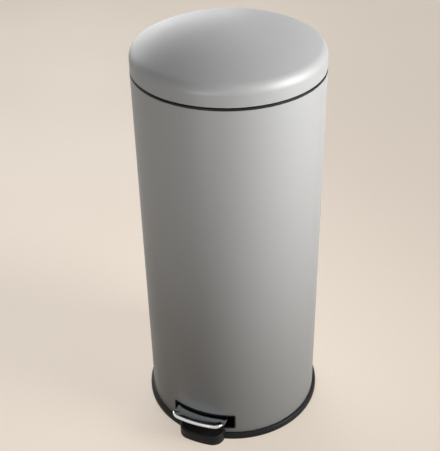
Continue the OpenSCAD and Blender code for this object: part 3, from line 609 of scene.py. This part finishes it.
def laid_on_shell(x, z, height):
    """A place at this height above the shell's outer face, straight out from the bin's axis."""
    a = math.asin(x / SHELL_R)
    return ((SHELL_R + height) * math.sin(a), -(SHELL_R + height) * math.cos(a), z)


CORNER = 2.2 * MM
frame_mesh = bmesh.new()
rings = []
for grow_by, height in frame_section:
    loop = slot_loop(grow_by, CORNER + grow_by)
    rings.append([frame_mesh.verts.new(laid_on_shell(x, z, height)) for x, z in loop])
for ring_a, ring_b in zip(rings, rings[1:] + rings[:1]):
    for i in range(len(ring_a)):
        j = (i + 1) % len(ring_a)
        frame_mesh.faces.new((ring_a[i], ring_a[j], ring_b[j], ring_b[i]))
bmesh.ops.recalc_face_normals(frame_mesh, faces=frame_mesh.faces)
slot_frame = from_bmesh("slot_frame", frame_mesh, black)
dress(slot_frame, "bin", ["slot_trim"])

# %% [markdown]
# The pedal is a chromed pressing: a tread that leaves the slot flat, turns up towards its front and ends in a
# rolled edge. A flat plate with a bar round it would reflect only one thing; the turned-up dish is what gives
# chrome its dark and light bands. The dish is built from outlines that step inwards, and the rolled edge is
# swept along the outermost one.

# %% The pedal's outlines
BEAD_W, BEAD_H = 5 * MM, 6 * MM
TREAD_T, BEAD_RISE = 2 * MM, 7 * MM
PEDAL_CORNER = 15.5 * MM
SIDE_DISH, FRONT_DISH = 10 * MM, 0.9
DISH_STEPS, DISH_CURVE = 14, 1.7
LIP_START, LIP_FULL = -SHELL_R - 3.5 * MM, -SHELL_R - 24 * MM
pedal_low, pedal_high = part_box("pedal_plate")
TREAD_TOP = pedal_low.z + TREAD_T
path_r = -pedal_low.y - BEAD_W / 2
path_half = pedal_high.x - BEAD_W / 2
dish_h = BEAD_RISE + BEAD_H / 2


def lip_share(y):
    """How much of the lip's height is reached here: none at the slot, all of it along the front."""
    t = min(max((y - LIP_START) / (LIP_FULL - LIP_START), 0), 1)
    return t * t * (3 - 2 * t)


def dish_outline(step):
    """An outline of the dish as (x, y, z): step 0 is the edge of the flat, the last is the rolled edge."""
    share = step / DISH_STEPS
    narrow = 1 - SIDE_DISH / path_half * (1 - share)
    shorten = 1 - FRONT_DISH * (1 - share)
    places = []
    for x, y in arc_front(path_r, path_half, PEDAL_CORNER, pedal_high.y):
        near_y = LIP_START + (y - LIP_START) * shorten if y < LIP_START else y
        places.append((x * narrow, near_y, TREAD_TOP + dish_h * share ** DISH_CURVE * lip_share(y)))
    return places


print("dish:", DISH_STEPS + 1, "outlines of", len(dish_outline(0)), "points")

# %% The pedal's tread and its rolled edge
dish = bmesh.new()
outlines = [[dish.verts.new(p) for p in dish_outline(step)] for step in range(DISH_STEPS + 1)]
dish.faces.new(outlines[0])
for inner, outer in zip(outlines, outlines[1:]):
    for i in range(len(inner) - 1):
        dish.faces.new((inner[i], outer[i], outer[i + 1], inner[i + 1]))
bmesh.ops.recalc_face_normals(dish, faces=dish.faces)
if dish.faces[0].normal.z < 0:
    bmesh.ops.reverse_faces(dish, faces=dish.faces)
tread = from_bmesh("tread", dish, chrome)
thick = tread.modifiers.new("thick", "SOLIDIFY")
thick.thickness, thick.offset = TREAD_T, -1
settle(tread)
edge_path = [p for p in dish_outline(DISH_STEPS) if p[1] <= LIP_START]
pedal_tread = grow("pedal_tread", line_mesh("edge", edge_path, [0.0] * len(edge_path), False), sweeping,
                   width=BEAD_W, height=BEAD_H, corner=BEAD_W / 2, path_points=180, taper=0.16, end_cut=0.65,
                   material=chrome)
combine(pedal_tread, [tread], "UNION")
dress(pedal_tread, "pedal", ["pedal_plate"])

# %% [markdown]
# ## The hinge housing and carrying grip
#
# At the back a black moulding is screwed to the shell. It carries the hinge pin in two ears, and the pocket
# under it is the grip that the bin is carried by. A block would leave a gap at the round shell. So its plan
# follows the shell on one side, and it is raised from that plan with its ends rounded; the ears are raised
# sideways, and the pocket and the bore are cut last.

# %% Sideways prisms and round tools
ACROSS = Matrix(((0, 0, 1, 0), (1, 0, 0, 0), (0, 1, 0, 0), (0, 0, 0, 1)))


def across(piece):
    """Turns a prism's plan into a side view: its X becomes Y, its Y becomes Z, and it is raised along X."""
    piece.data.transform(ACROSS)
    return piece


def disc(radius, at=(0, 0), steps=48, start=0.0, sweep=2 * math.pi):
    """Points on a circle, or on a part of one with both ends."""
    count = steps if sweep >= 2 * math.pi else steps + 1
    return [(at[0] + radius * math.cos(start + sweep * i / steps),
             at[1] + radius * math.sin(start + sweep * i / steps)) for i in range(count)]


def rounded_plan(half_x, low_y, high_y, corner, steps=8):
    """A rectangle with round corners, in X and Y."""
    plan = []
    for i, (sx, y) in enumerate(((1, high_y - corner), (-1, high_y - corner), (-1, low_y + corner),
                                 (1, low_y + corner))):
        plan += disc(corner, (sx * (half_x - corner), y), steps, i * math.pi / 2, math.pi / 2)
    return plan


# %% The housing
house_low, house_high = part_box("hinge_housing")
pin_low, pin_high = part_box("hinge_pin")
pin_place = (pin_low + pin_high) / 2
pin_at = (pin_place.y, pin_place.z)
PIN_R = (pin_high.z - pin_low.z) / 2
HOUSE_TOP = 600 * MM
HOUSE_CORNER, HOUSE_EDGE, HOUSE_STEPS = 12 * MM, 2.5 * MM, 10
EAR_IN, EAR_OUT, EAR_R, EAR_EDGE, EAR_ROOT = 22.4 * MM, 30.9 * MM, 6.5 * MM, 0.8 * MM, 3 * MM
house_r = SHELL_R + SEAT
house_half = house_high.x
house_front = [(-x, -y) for x, y in arc_back(house_r, house_half)]
corner_x, corner_y = house_half - HOUSE_CORNER, house_high.y - HOUSE_CORNER
house_plan = house_front + [(house_half, corner_y)]
house_plan += disc(HOUSE_CORNER, (corner_x, corner_y), HOUSE_STEPS, 0, math.pi / 2)[1:]
house_plan += disc(HOUSE_CORNER, (-corner_x, corner_y), HOUSE_STEPS, math.pi / 2, math.pi / 2)
hinge_cover = prism("hinge_cover", house_plan, house_low.z, HOUSE_TOP, HOUSE_EDGE, ends=(True, True),
                    keep=lambda p: p.to_2d().length < house_r + SMALL, material=black)
ear_plan = disc(EAR_R, pin_at, 24, 0, math.pi)
ear_plan += [(pin_place.y + side * EAR_R, HOUSE_TOP - EAR_ROOT) for side in (-1, 1)]
ears = [across(prism("ear", ear_plan, low, high, EAR_EDGE, ends=(True, True), material=black))
        for low, high in ((-EAR_OUT, -EAR_IN), (EAR_IN, EAR_OUT))]
combine(hinge_cover, ears, "UNION")
POCKET_HALF, POCKET_TOP, POCKET_CORNER, POCKET_EDGE = 33 * MM, 586 * MM, 4 * MM, 2 * MM
GRIP_WALL = 4 * MM
pocket_plan = rounded_plan(POCKET_HALF, SHELL_R + GRIP_WALL, house_high.y - GRIP_WALL, POCKET_CORNER)
pocket = prism("tool", pocket_plan, house_low.z - CUT, POCKET_TOP, POCKET_EDGE, material=black)


def pin_bore():
    """A tool that cuts the hinge pin's hole from side to side."""
    return across(prism("tool", disc(PIN_R + SEAT / 2, pin_at), -house_half, house_half))


combine(hinge_cover, [pocket, pin_bore()], "DIFFERENCE")
dress(hinge_cover, "bin", ["hinge_housing"])

# %% [markdown]
# ## The lid's inside
#
# With the lid open its underside shows: a black panel with a lip and a stiffening bead, and the hinge leaf
# that is screwed to it. The panel is round, so it is turned. The leaf's horn reaches down into the bin, where
# the lift rod pushes it; leaf, barrel and horn are three plain prisms, which a Boolean joins into one.

# %% The lid's panel
liner_low, liner_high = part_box("lid_liner")
PANEL_LOW, PANEL_T = 620.5 * MM, 2.5 * MM
LIP_T, BEAD_R, BEAD_T, BEAD_DROP = 2 * MM, 90 * MM, 3 * MM, 1.5 * MM
panel_r = liner_high.x
panel_profile = [
    (0, PANEL_LOW, 0), (BEAD_R - BEAD_T, PANEL_LOW, SMALL),
    (BEAD_R - BEAD_T, PANEL_LOW - BEAD_DROP, 2 * SMALL), (BEAD_R, PANEL_LOW - BEAD_DROP, 2 * SMALL),
    (BEAD_R, PANEL_LOW, SMALL), (panel_r - LIP_T, PANEL_LOW, 2 * SMALL),
    (panel_r - LIP_T, liner_low.z, SMALL), (panel_r, liner_low.z, SMALL),
    (panel_r, PANEL_LOW + PANEL_T, SMALL), (0, PANEL_LOW + PANEL_T, 0)]
liner_panel = turn("liner_panel", panel_profile, black)
combine(liner_panel, [box_tool((-LEAF_HALF, BEAD_R, liner_low.z - CUT), (LEAF_HALF, SHELL_R, PANEL_LOW))],
        "DIFFERENCE")
dress(liner_panel, "lid", ["lid_liner"])

# %% The hinge leaf and its horn
_, leaf_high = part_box("lid_hinge")
LEAF_T = 3.9 * MM
LEAF_L = 54 * MM
LEAF_LOW = 616.5 * MM
LEAF_CORNER, LEAF_EDGE = 3 * MM, 0.5 * MM
HORN_HALF = 4 * MM
HORN_R, HORN_SLOT_R = 6.1 * MM, 3.1 * MM
HORN_REACH, HORN_FAR = 16.35 * MM, 20.59 * MM
HORN_TILT = math.radians(180 + 39)
leaf_half = leaf_high.x
leaf_plan = rounded_plan(leaf_half, pin_place.y - LEAF_L, pin_place.y, LEAF_CORNER)
hinge_leaf = prism("hinge_leaf", leaf_plan, LEAF_LOW, LEAF_LOW + LEAF_T, LEAF_EDGE, ends=(True, False),
                   material=dark)


def stadium(near, far, radius):
    """A slot's outline from near to far along the horn, in the side view."""
    ends = []
    for reach, start in ((far, -math.pi / 2), (near, math.pi / 2)):
        middle = (pin_place.y + reach * math.cos(HORN_TILT), pin_place.z + reach * math.sin(HORN_TILT))
        ends += disc(radius, middle, 20, HORN_TILT + start, math.pi)
    return ends


barrel = across(prism("barrel", disc(EAR_R, pin_at), -leaf_half, leaf_half, LEAF_EDGE, ends=(True, True),
                      material=dark))
horn = across(prism("horn", stadium(0, HORN_FAR, HORN_R), -HORN_HALF, HORN_HALF, LEAF_EDGE,
                    ends=(True, True), material=dark))
combine(hinge_leaf, [barrel, horn], "UNION")
horn_slot = across(prism("tool", stadium(HORN_REACH, HORN_FAR, HORN_SLOT_R), -leaf_half, leaf_half))
combine(hinge_leaf, [horn_slot, pin_bore()], "DIFFERENCE")
dress(hinge_leaf, "lid", ["lid_hinge"])

# %% [markdown]
# ## The inner bucket and its bail
#
# The bucket is a tapered plastic moulding with a turned-out rim. It is turned like the other mouldings, with
# a generous round at its foot. Two lugs inside the rim carry a wire bail with a ribbed sleeve to lift it by.
# The wire could be a curve with a bevel; the sweeping tree does the same and gives the sleeve its ribs too.

# %% The bucket
tub_low, tub_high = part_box("inner_bucket")
wire_low, wire_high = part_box("bail_wire")
WIRE_D = 4.5 * MM
wire_z = (wire_low.z + wire_high.z) / 2
wire_r = wire_high.x - WIRE_D / 2
TUB_R = tub_high.x
TUB_TOP = 565 * MM
TUB_WALL, TUB_RIM, TUB_RIM_H, TUB_TAPER = 2.2 * MM, 2 * MM, 8 * MM, 8 * MM
FOOT_ROUND, INNER_ROUND, RIM_ROUND = 7 * MM, 5 * MM, 1.5 * MM
tub_side, tub_foot = TUB_R - TUB_RIM, TUB_R - TUB_RIM - TUB_TAPER
tub_profile = [
    (0, tub_low.z, 0), (tub_foot, tub_low.z, FOOT_ROUND), (tub_side, TUB_TOP - TUB_RIM_H, SMALL),
    (TUB_R, TUB_TOP - TUB_RIM_H, SMALL), (TUB_R, TUB_TOP, RIM_ROUND),
    (tub_side - TUB_WALL, TUB_TOP, RIM_ROUND), (tub_foot - TUB_WALL, tub_low.z + TUB_WALL, INNER_ROUND),
    (0, tub_low.z + TUB_WALL, 0)]
bucket_tub = turn("bucket_tub", tub_profile, bucket_grey)
LUG_HIGH, LUG_T, LUG_GAP, TUB_LUG_R = 14 * MM, 4 * MM, 0.7 * MM, 6 * MM
LUG_EDGE, WEB_DROP, EYE_PLAY = 0.8 * MM, 2 * MM, 0.6 * MM
lug_out = wire_r - WIRE_D / 2 - LUG_GAP
lug_foot = TUB_TOP - LUG_HIGH
lug_plan = disc(TUB_LUG_R, (0, wire_z), 24, 0, math.pi) + [(-TUB_LUG_R, lug_foot), (TUB_LUG_R, lug_foot)]
tub_lugs = []
for side in (-1, 1):
    lug_ends = sorted((side * lug_out, side * (lug_out - LUG_T)))
    lug = prism("lug", lug_plan, *lug_ends, LUG_EDGE, ends=(True, True), material=bucket_grey)
    web_ends = sorted((side * (lug_out - LUG_T / 2), side * (tub_side - TUB_WALL / 2)))
    web = box_tool((web_ends[0], -TUB_LUG_R, lug_foot), (web_ends[1], TUB_LUG_R, TUB_TOP - WEB_DROP))
    tub_lugs += [across(lug), web]
combine(bucket_tub, tub_lugs, "UNION")
eye = across(prism("tool", disc(WIRE_D / 2 + EYE_PLAY, (0, wire_z)), -lug_out - LUG_GAP, lug_out + LUG_GAP))
combine(bucket_tub, [eye], "DIFFERENCE")
dress(bucket_tub, "bucket", ["inner_bucket"])

# %% The bail's wire and sleeve
WIRE_END = 119.55 * MM
BEND = 4 * MM
ARC_STEPS, SLEEVE_STEPS = 64, 32
arc = [(wire_r * math.cos(a), -wire_r * math.sin(a), wire_z)
       for a in (math.pi * i / ARC_STEPS for i in range(ARC_STEPS + 1))]
wire_path = [(WIRE_END, 0, wire_z)] + arc + [(-WIRE_END, 0, wire_z)]
bends = [0.0] * len(wire_path)
bends[1] = bends[-2] = BEND
bail_hoop = grow("bail_hoop", line_mesh("hoop", wire_path, bends, False), sweeping, width=WIRE_D,
                 height=WIRE_D, corner=WIRE_D / 2, path_points=160, material=zinc)
dress(bail_hoop, "bail", ["bail_wire"])
SLEEVE_D = 9 * MM
SLEEVE_SPREAD = math.radians(13)
RIDGES, POINTS_PER_RIDGE = 11, 12
sleeve_path = [(wire_r * math.sin(a), -wire_r * math.cos(a), wire_z)
               for a in (SLEEVE_SPREAD * (2 * i / SLEEVE_STEPS - 1) for i in range(SLEEVE_STEPS + 1))]
sleeve_line = line_mesh("sleeve", sleeve_path, [0.0] * len(sleeve_path), False)
bail_sleeve = grow("bail_sleeve", sleeve_line, sweeping, width=SLEEVE_D, height=SLEEVE_D,
                   corner=SLEEVE_D / 2, path_points=RIDGES * POINTS_PER_RIDGE + 1, ridges=float(RIDGES),
                   ridge_depth=0.05, material=black)
dress(bail_sleeve, "bail", ["bail_grip"])

# %% [markdown]
# ## Screws, rivets, caps, pads and buffers
#
# Small repeated things are one turned shape each, set at points by the copying tree: a change to the shape
# changes all its copies. Each point carries the way its copy's head looks. A screw's cross recess is cut into
# the shape once, before it is copied.

# %% Shapes of the small things
DOME_STEPS, HEAD_SIDE, TAIL_ROUND = 8, 0.45, 0.3
CROSS_SLIM, CROSS_FLOOR = 0.28, 0.4


def head_profile(head_r, head_h, shank_r, length, tail_r=0.0, tail_h=0.0):
    """A domed head above its seat at height 0, a shank below it, and a formed tail on a rivet."""
    dome = [(head_r * math.cos(a), head_h * (HEAD_SIDE + (1 - HEAD_SIDE) * math.sin(a)), 0)
            for a in (math.pi / 2 * i / DOME_STEPS for i in range(DOME_STEPS, -1, -1))]
    profile = dome + [(head_r, 0, 0), (shank_r, 0, 0)]
    if tail_r:
        return profile + [(shank_r, -length, 0), (tail_r, -length, 0),
                          (tail_r, -length - tail_h, TAIL_ROUND * tail_h), (0, -length - tail_h, 0)]
    return profile + [(shank_r, -length + shank_r, 0), (0, -length, 0)]


def small_shape(profile, recess=0.0, segments=40):
    """A small turned shape; recess is the half length of its cross."""
    shape = turn("shape", profile, zinc, segments=segments, steps=3)
    if recess:
        top = max(z for _, z, _ in profile)
        slim, floor_z = recess * CROSS_SLIM, top * CROSS_FLOOR
        combine(shape, [box_tool((-recess, -slim, floor_z), (recess, slim, top + CUT)),
                        box_tool((-slim, -recess, floor_z), (slim, recess, top + CUT))], "DIFFERENCE")
    return shape


def set_copies(name, shape, spots, material, body, node):
    """Copies of a shape at (place, way) spots; the shape itself is deleted."""
    mesh = bpy.data.meshes.new(name)
    mesh.from_pydata([place for place, _ in spots], [], [])
    ways = mesh.attributes.new("way", "FLOAT_VECTOR", "POINT")
    ways.data.foreach_set("vector", [c for _, way in spots for c in way])
    piece = grow(name, mesh, copying, shape=shape, material=material)
    bpy.data.objects.remove(shape)
    return dress(piece, body, [node])


def round_spots(radius, angles, z):
    """Places on a circle about the bin's axis."""
    return [(radius * math.cos(math.radians(a)), radius * math.sin(math.radians(a)), z) for a in angles]


UP, DOWN = (0, 0, 1), (0, 0, -1)

# %% Screws
_, deck_screw_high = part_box("deck_screws")
DECK_HEAD_H, DECK_RING_R = 1.9 * MM, 113.5 * MM
deck_screw = small_shape(head_profile(head_r=3.5 * MM, head_h=DECK_HEAD_H, shank_r=1.5 * MM, length=16 * MM),
                         recess=2.1 * MM)
set_copies("deck_screw_set", deck_screw,
           [(p, UP) for p in round_spots(DECK_RING_R, (45, 135, 225, 315), deck_screw_high.z - DECK_HEAD_H)],
           zinc, "bin", "deck_screws")

leaf_screw_low, leaf_screw_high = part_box("hinge_screws")
LEAF_HEAD_R, LEAF_HEAD_H = 3.25 * MM, 2 * MM
leaf_screw = small_shape(head_profile(LEAF_HEAD_R, LEAF_HEAD_H, shank_r=1.5 * MM, length=9 * MM),
                         recess=1.95 * MM)
leaf_xs = (leaf_screw_low.x + LEAF_HEAD_R, leaf_screw_high.x - LEAF_HEAD_R)
leaf_ys = (leaf_screw_low.y + LEAF_HEAD_R, leaf_screw_high.y - LEAF_HEAD_R)
set_copies("leaf_screw_set", leaf_screw,
           [((x, y, leaf_screw_low.z + LEAF_HEAD_H), DOWN) for x in leaf_xs for y in leaf_ys],
           zinc, "lid", "hinge_screws")

PLATE_AND_GAPS = 2.2 * MM
HOUSE_SCREW_SEAT = SHELL_R - SHEET - PLATE_AND_GAPS
HOUSE_SCREW_ANGLES = (90 - 15.5, 90 + 15.5)
HOUSE_SCREW_RISES = (10 * MM, 28 * MM)
house_spots = []
for rise in HOUSE_SCREW_RISES:
    for place in round_spots(HOUSE_SCREW_SEAT, HOUSE_SCREW_ANGLES, house_low.z + rise):
        house_spots.append((place, (-place[0], -place[1], 0)))
house_screw = small_shape(head_profile(head_r=4 * MM, head_h=2.4 * MM, shank_r=2 * MM, length=12 * MM),
                          recess=2.4 * MM)
set_copies("house_screw_set", house_screw, house_spots, zinc, "bin", "housing_screws")

# %% Rivets and caps
rivet_low, rivet_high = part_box("pedal_rivets")
RIVET_HEAD_R = 4.5 * MM
rivet_y = (rivet_low.y + rivet_high.y) / 2
tread_rivet = small_shape(head_profile(RIVET_HEAD_R, rivet_high.z - TREAD_TOP, shank_r=2.5 * MM,
                                       length=4.6 * MM, tail_r=3.5 * MM, tail_h=1.6 * MM))
set_copies("tread_rivet_set", tread_rivet,
           [((x, rivet_y, TREAD_TOP), UP) for x in (rivet_low.x + RIVET_HEAD_R, rivet_high.x - RIVET_HEAD_R)],
           zinc, "pedal", "pedal_rivets")

back_low, back_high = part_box("guide_rivets")
GUIDE_HEAD_R, GUIDE_HEAD_H = 4 * MM, 1.2 * MM
guide_rivet = small_shape(head_profile(GUIDE_HEAD_R, GUIDE_HEAD_H, shank_r=2 * MM, length=4.2 * MM,
                                       tail_r=4 * MM, tail_h=1.2 * MM))
set_copies("guide_rivet_set", guide_rivet,
           [((0, back_high.y - GUIDE_HEAD_H, z), (0, 1, 0))
            for z in (back_low.z + GUIDE_HEAD_R, back_high.z - GUIDE_HEAD_R)],
           zinc, "bin", "guide_rivets")

cap_low, cap_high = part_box("pin_caps")
CAP_T, CAP_ROUND = 2.5 * MM, 0.6 * MM
CAP_FLAT, CAP_FALL, CAP_SIDE = 0.62, 0.9, 0.55
cap_r = (cap_high.z - cap_low.z) / 2
cap_profile = [(0, CAP_T, 0), (cap_r * CAP_FLAT, CAP_T * CAP_FALL, CAP_ROUND),
               (cap_r, CAP_T * CAP_SIDE, CAP_ROUND), (cap_r, 0, SMALL), (0, 0, 0)]
set_copies("pin_cap_set", small_shape(cap_profile),
           [((side * (cap_high.x - CAP_T), pin_place.y, pin_place.z), (side, 0, 0)) for side in (-1, 1)],
           black, "bin", "pin_caps")

# %% Foot pads and lid buffers
pad_low, pad_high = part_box("foot_pads")
PAD_R, PAD_CIRCLE_R = 8 * MM, 130 * MM
PAD_GROOVE_OUT, PAD_GROOVE_IN, PAD_GROOVE_DEEP = 5 * MM, 4 * MM, 0.6 * MM
PAD_FOOT, PAD_EDGE, PAD_GROOVE_EDGE = 0.2 * MM, 0.7 * MM, 0.3 * MM
pad_h = pad_high.z - pad_low.z
pad_floor = pad_h - PAD_GROOVE_DEEP
pad_profile = [(0, 0, 0), (PAD_R, 0, PAD_FOOT), (PAD_R, pad_h, PAD_EDGE),
               (PAD_GROOVE_OUT, pad_h, PAD_GROOVE_EDGE), (PAD_GROOVE_OUT, pad_floor, 0),
               (PAD_GROOVE_IN, pad_floor, 0), (PAD_GROOVE_IN, pad_h, PAD_GROOVE_EDGE), (0, pad_h, 0)]
set_copies("foot_pad_set", small_shape(pad_profile),
           [(p, DOWN) for p in round_spots(PAD_CIRCLE_R, range(-60, 300, 60), pad_high.z)],
           rubber, "bin", "foot_pads")

bump_low, bump_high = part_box("lid_buffers")
BUFFER_R, STEM_R, BUFFER_ROUND = 3 * MM, 1.5 * MM, 1.2 * MM
BUFFER_RING_R = 136 * MM
BUFFER_SEAT = PANEL_LOW - SEAT / 2
bump_h, stem_end = BUFFER_SEAT - bump_low.z, BUFFER_SEAT - bump_high.z
bump_profile = [(0, bump_h, 0), (BUFFER_R, bump_h, BUFFER_ROUND), (BUFFER_R, 0, SMALL), (STEM_R, 0, 0),
                (STEM_R, stem_end, SMALL), (0, stem_end, 0)]
set_copies("lid_buffer_set", small_shape(bump_profile),
           [(p, DOWN) for p in round_spots(BUFFER_RING_R, (35, 145, 215, 325), BUFFER_SEAT)],
           rubber, "lid", "lid_buffers")

# %% [markdown]
# ## Solids that stay
#
# The rod, the lever, the axle and the other inner pieces already have the right shape, and little of them is
# seen. They keep their solids and only get their finish.

# %% Finishes for the solids that stay
staying = {"bucket_deck": dark, "backing_plate": zinc, "hinge_pin": zinc, "rod_guides": black,
           "pedal_axle": zinc, "axle_clips": zinc, "lift_rod": zinc, "rod_clips": black, "pedal_lever": zinc}
for node, finish in staying.items():
    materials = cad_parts[node].data.materials
    materials.clear()
    materials.append(finish)
print("solids that stay:", ", ".join(staying))

# %% [markdown]
# ## The studio
#
# A pale floor and four soft lamps. The one at the side is the main light: on a matt cylinder it becomes a
# broad bright side that fades to grey. A wide one at the back gives the crown something pale to mirror, a
# narrow one in front keeps the upper left side readable, and a faint one above the back lifts the lid.
#
# Chrome looks black unless it has something bright to mirror. More light would wash out the body, so the
# floor and the sky only look bright: the Light Path node tells rays that look at them from rays that carry
# light.

# %% The floor
FLOOR_SIZE = 30.0
FLOOR_GLOW, GLOW_COLOUR = 0.52, (1.0, 0.88, 0.75, 1)


def looking(nodes, link, base, more):
    """A strength of base for rays that carry light, and of base + more for rays that look at the surface."""
    rays = nodes.new("ShaderNodeLightPath")
    mirrored = nodes.new("ShaderNodeMath")
    mirrored.operation = "MAXIMUM"
    link(rays.outputs["Is Glossy Ray"], mirrored.inputs[0])
    link(rays.outputs["Is Transmission Ray"], mirrored.inputs[1])
    seen = nodes.new("ShaderNodeMath")
    seen.operation = "MAXIMUM"
    link(rays.outputs["Is Camera Ray"], seen.inputs[0])
    link(mirrored.outputs["Value"], seen.inputs[1])
    strength = nodes.new("ShaderNodeMath")
    strength.operation = "MULTIPLY_ADD"
    strength.inputs[1].default_value, strength.inputs[2].default_value = more, base
    link(seen.outputs["Value"], strength.inputs[0])
    return strength.outputs["Value"]


floor_mesh = bpy.data.meshes.new("floor")
half = FLOOR_SIZE / 2
floor_corners = [(-half, -half, 0), (half, -half, 0), (half, half, 0), (-half, half, 0)]
floor_mesh.from_pydata(floor_corners, [], [(0, 1, 2, 3)])
floor = new_object("floor", floor_mesh)
pale_floor = make_finish("pale_floor", ((0.37, 0.325, 0.275), (0.40, 0.355, 0.305)), 4 * MM, (0.55, 0.65),
                         cloud=2.0)
floor_nodes, floor_link = pale_floor.node_tree.nodes, pale_floor.node_tree.links.new
floor_shader = floor_nodes["Principled BSDF"]
floor_shader.inputs["Emission Color"].default_value = GLOW_COLOUR
floor_link(looking(floor_nodes, floor_link, 0, FLOOR_GLOW), floor_shader.inputs["Emission Strength"])
floor_mesh.materials.append(pale_floor)
print("floor:", FLOOR_SIZE, "m square")

# %% The lamps and the sky
CAMERA_TURN = math.radians(21.5)
LAMP_TARGET = Vector((0, 0, 0.4))


def place_at(turn_deg, rise_deg, distance):
    """A place round the bin: turn is measured from the camera to its right, rise above the target."""
    turn_by, rise_by = CAMERA_TURN + math.radians(turn_deg), math.radians(rise_deg)
    flat, rise = distance * math.cos(rise_by), distance * math.sin(rise_by)
    return LAMP_TARGET + Vector((flat * math.sin(turn_by), -flat * math.cos(turn_by), rise))


def lamp(name, spot, width, height, power, spread=180, target=LAMP_TARGET):
    """An area lamp of this width and height in metres, turned towards the target."""
    light = bpy.data.lights.new(name, "AREA")
    light.shape, light.size, light.size_y = "RECTANGLE", width, height
    light.energy, light.spread = power, math.radians(spread)
    made = new_object(name, light)
    made.location = spot
    made.rotation_euler = (target - spot).to_track_quat("-Z", "Y").to_euler()


UPPER_BODY = Vector((0, 0, 0.64))
lamp("side_light", place_at(70, 23, 1.38), width=0.7, height=0.8, power=6.0, spread=70, target=UPPER_BODY)
lamp("front_light", place_at(-26, 3, 1.7), width=0.9, height=0.7, power=0.74, spread=27, target=UPPER_BODY)
lamp("back_light", place_at(-158, 16, 2.9), width=2.7, height=1.5, power=9.8, spread=70, target=UPPER_BODY)
lamp("top_light", Vector((-0.5, 1.3, 1.9)), width=1.2, height=1.0, power=1.0, spread=60)
SKY_LIGHT, SKY_LOOK, SKY_COLOUR = 0.04, 0.9, (0.96, 0.98, 1.0, 1)
sky = bpy.data.worlds.new("sky")
sky.use_nodes = True
sky_nodes, sky_link = sky.node_tree.nodes, sky.node_tree.links.new
backdrop = sky_nodes["Background"].inputs
backdrop["Color"].default_value = SKY_COLOUR
sky_link(looking(sky_nodes, sky_link, SKY_LIGHT, SKY_LOOK - SKY_LIGHT), backdrop["Strength"])
scene.world = sky
scene.view_settings.view_transform = "Standard"

# %% [markdown]
# ## The camera
#
# The photograph looks down at the bin from standing height, a little to the right of the pedal. A camera set
# by eye would bend every size that is read from the picture. So its place and lens were solved from the lid's
# edge, the seam, the shell and the base ring: a distance, a height, three angles and a focal length.

# %% The camera
CAMERA_DISTANCE = 1.1981
CAMERA_HEIGHT = 1.1467
PITCH, YAW, ROLL = math.radians(34.113), math.radians(-0.844), math.radians(-1.325)
FOCAL_PIXELS, IMAGE_HEIGHT = 896.8, 451
camera_data = bpy.data.cameras.new("camera")
camera_data.sensor_width = 36.0
camera_data.lens = FOCAL_PIXELS / IMAGE_HEIGHT * camera_data.sensor_width
camera = new_object("camera", camera_data)
ahead = Vector((math.sin(YAW) * math.cos(PITCH), math.cos(YAW) * math.cos(PITCH), -math.sin(PITCH)))
right = Vector((math.cos(YAW), -math.sin(YAW), 0))
up = right.cross(ahead)
tilted_right = math.cos(ROLL) * right + math.sin(ROLL) * up
tilted_up = -math.sin(ROLL) * right + math.cos(ROLL) * up
facing = Matrix((tilted_right, tilted_up, -ahead)).transposed().to_4x4()
spot = Matrix.Translation((0, -CAMERA_DISTANCE, CAMERA_HEIGHT))
camera.matrix_world = Matrix.Rotation(CAMERA_TURN, 4, "Z") @ spot @ facing
scene.camera = camera
print("camera:", [round(c, 3) for c in camera.matrix_world.translation], "lens:", round(camera_data.lens, 2))
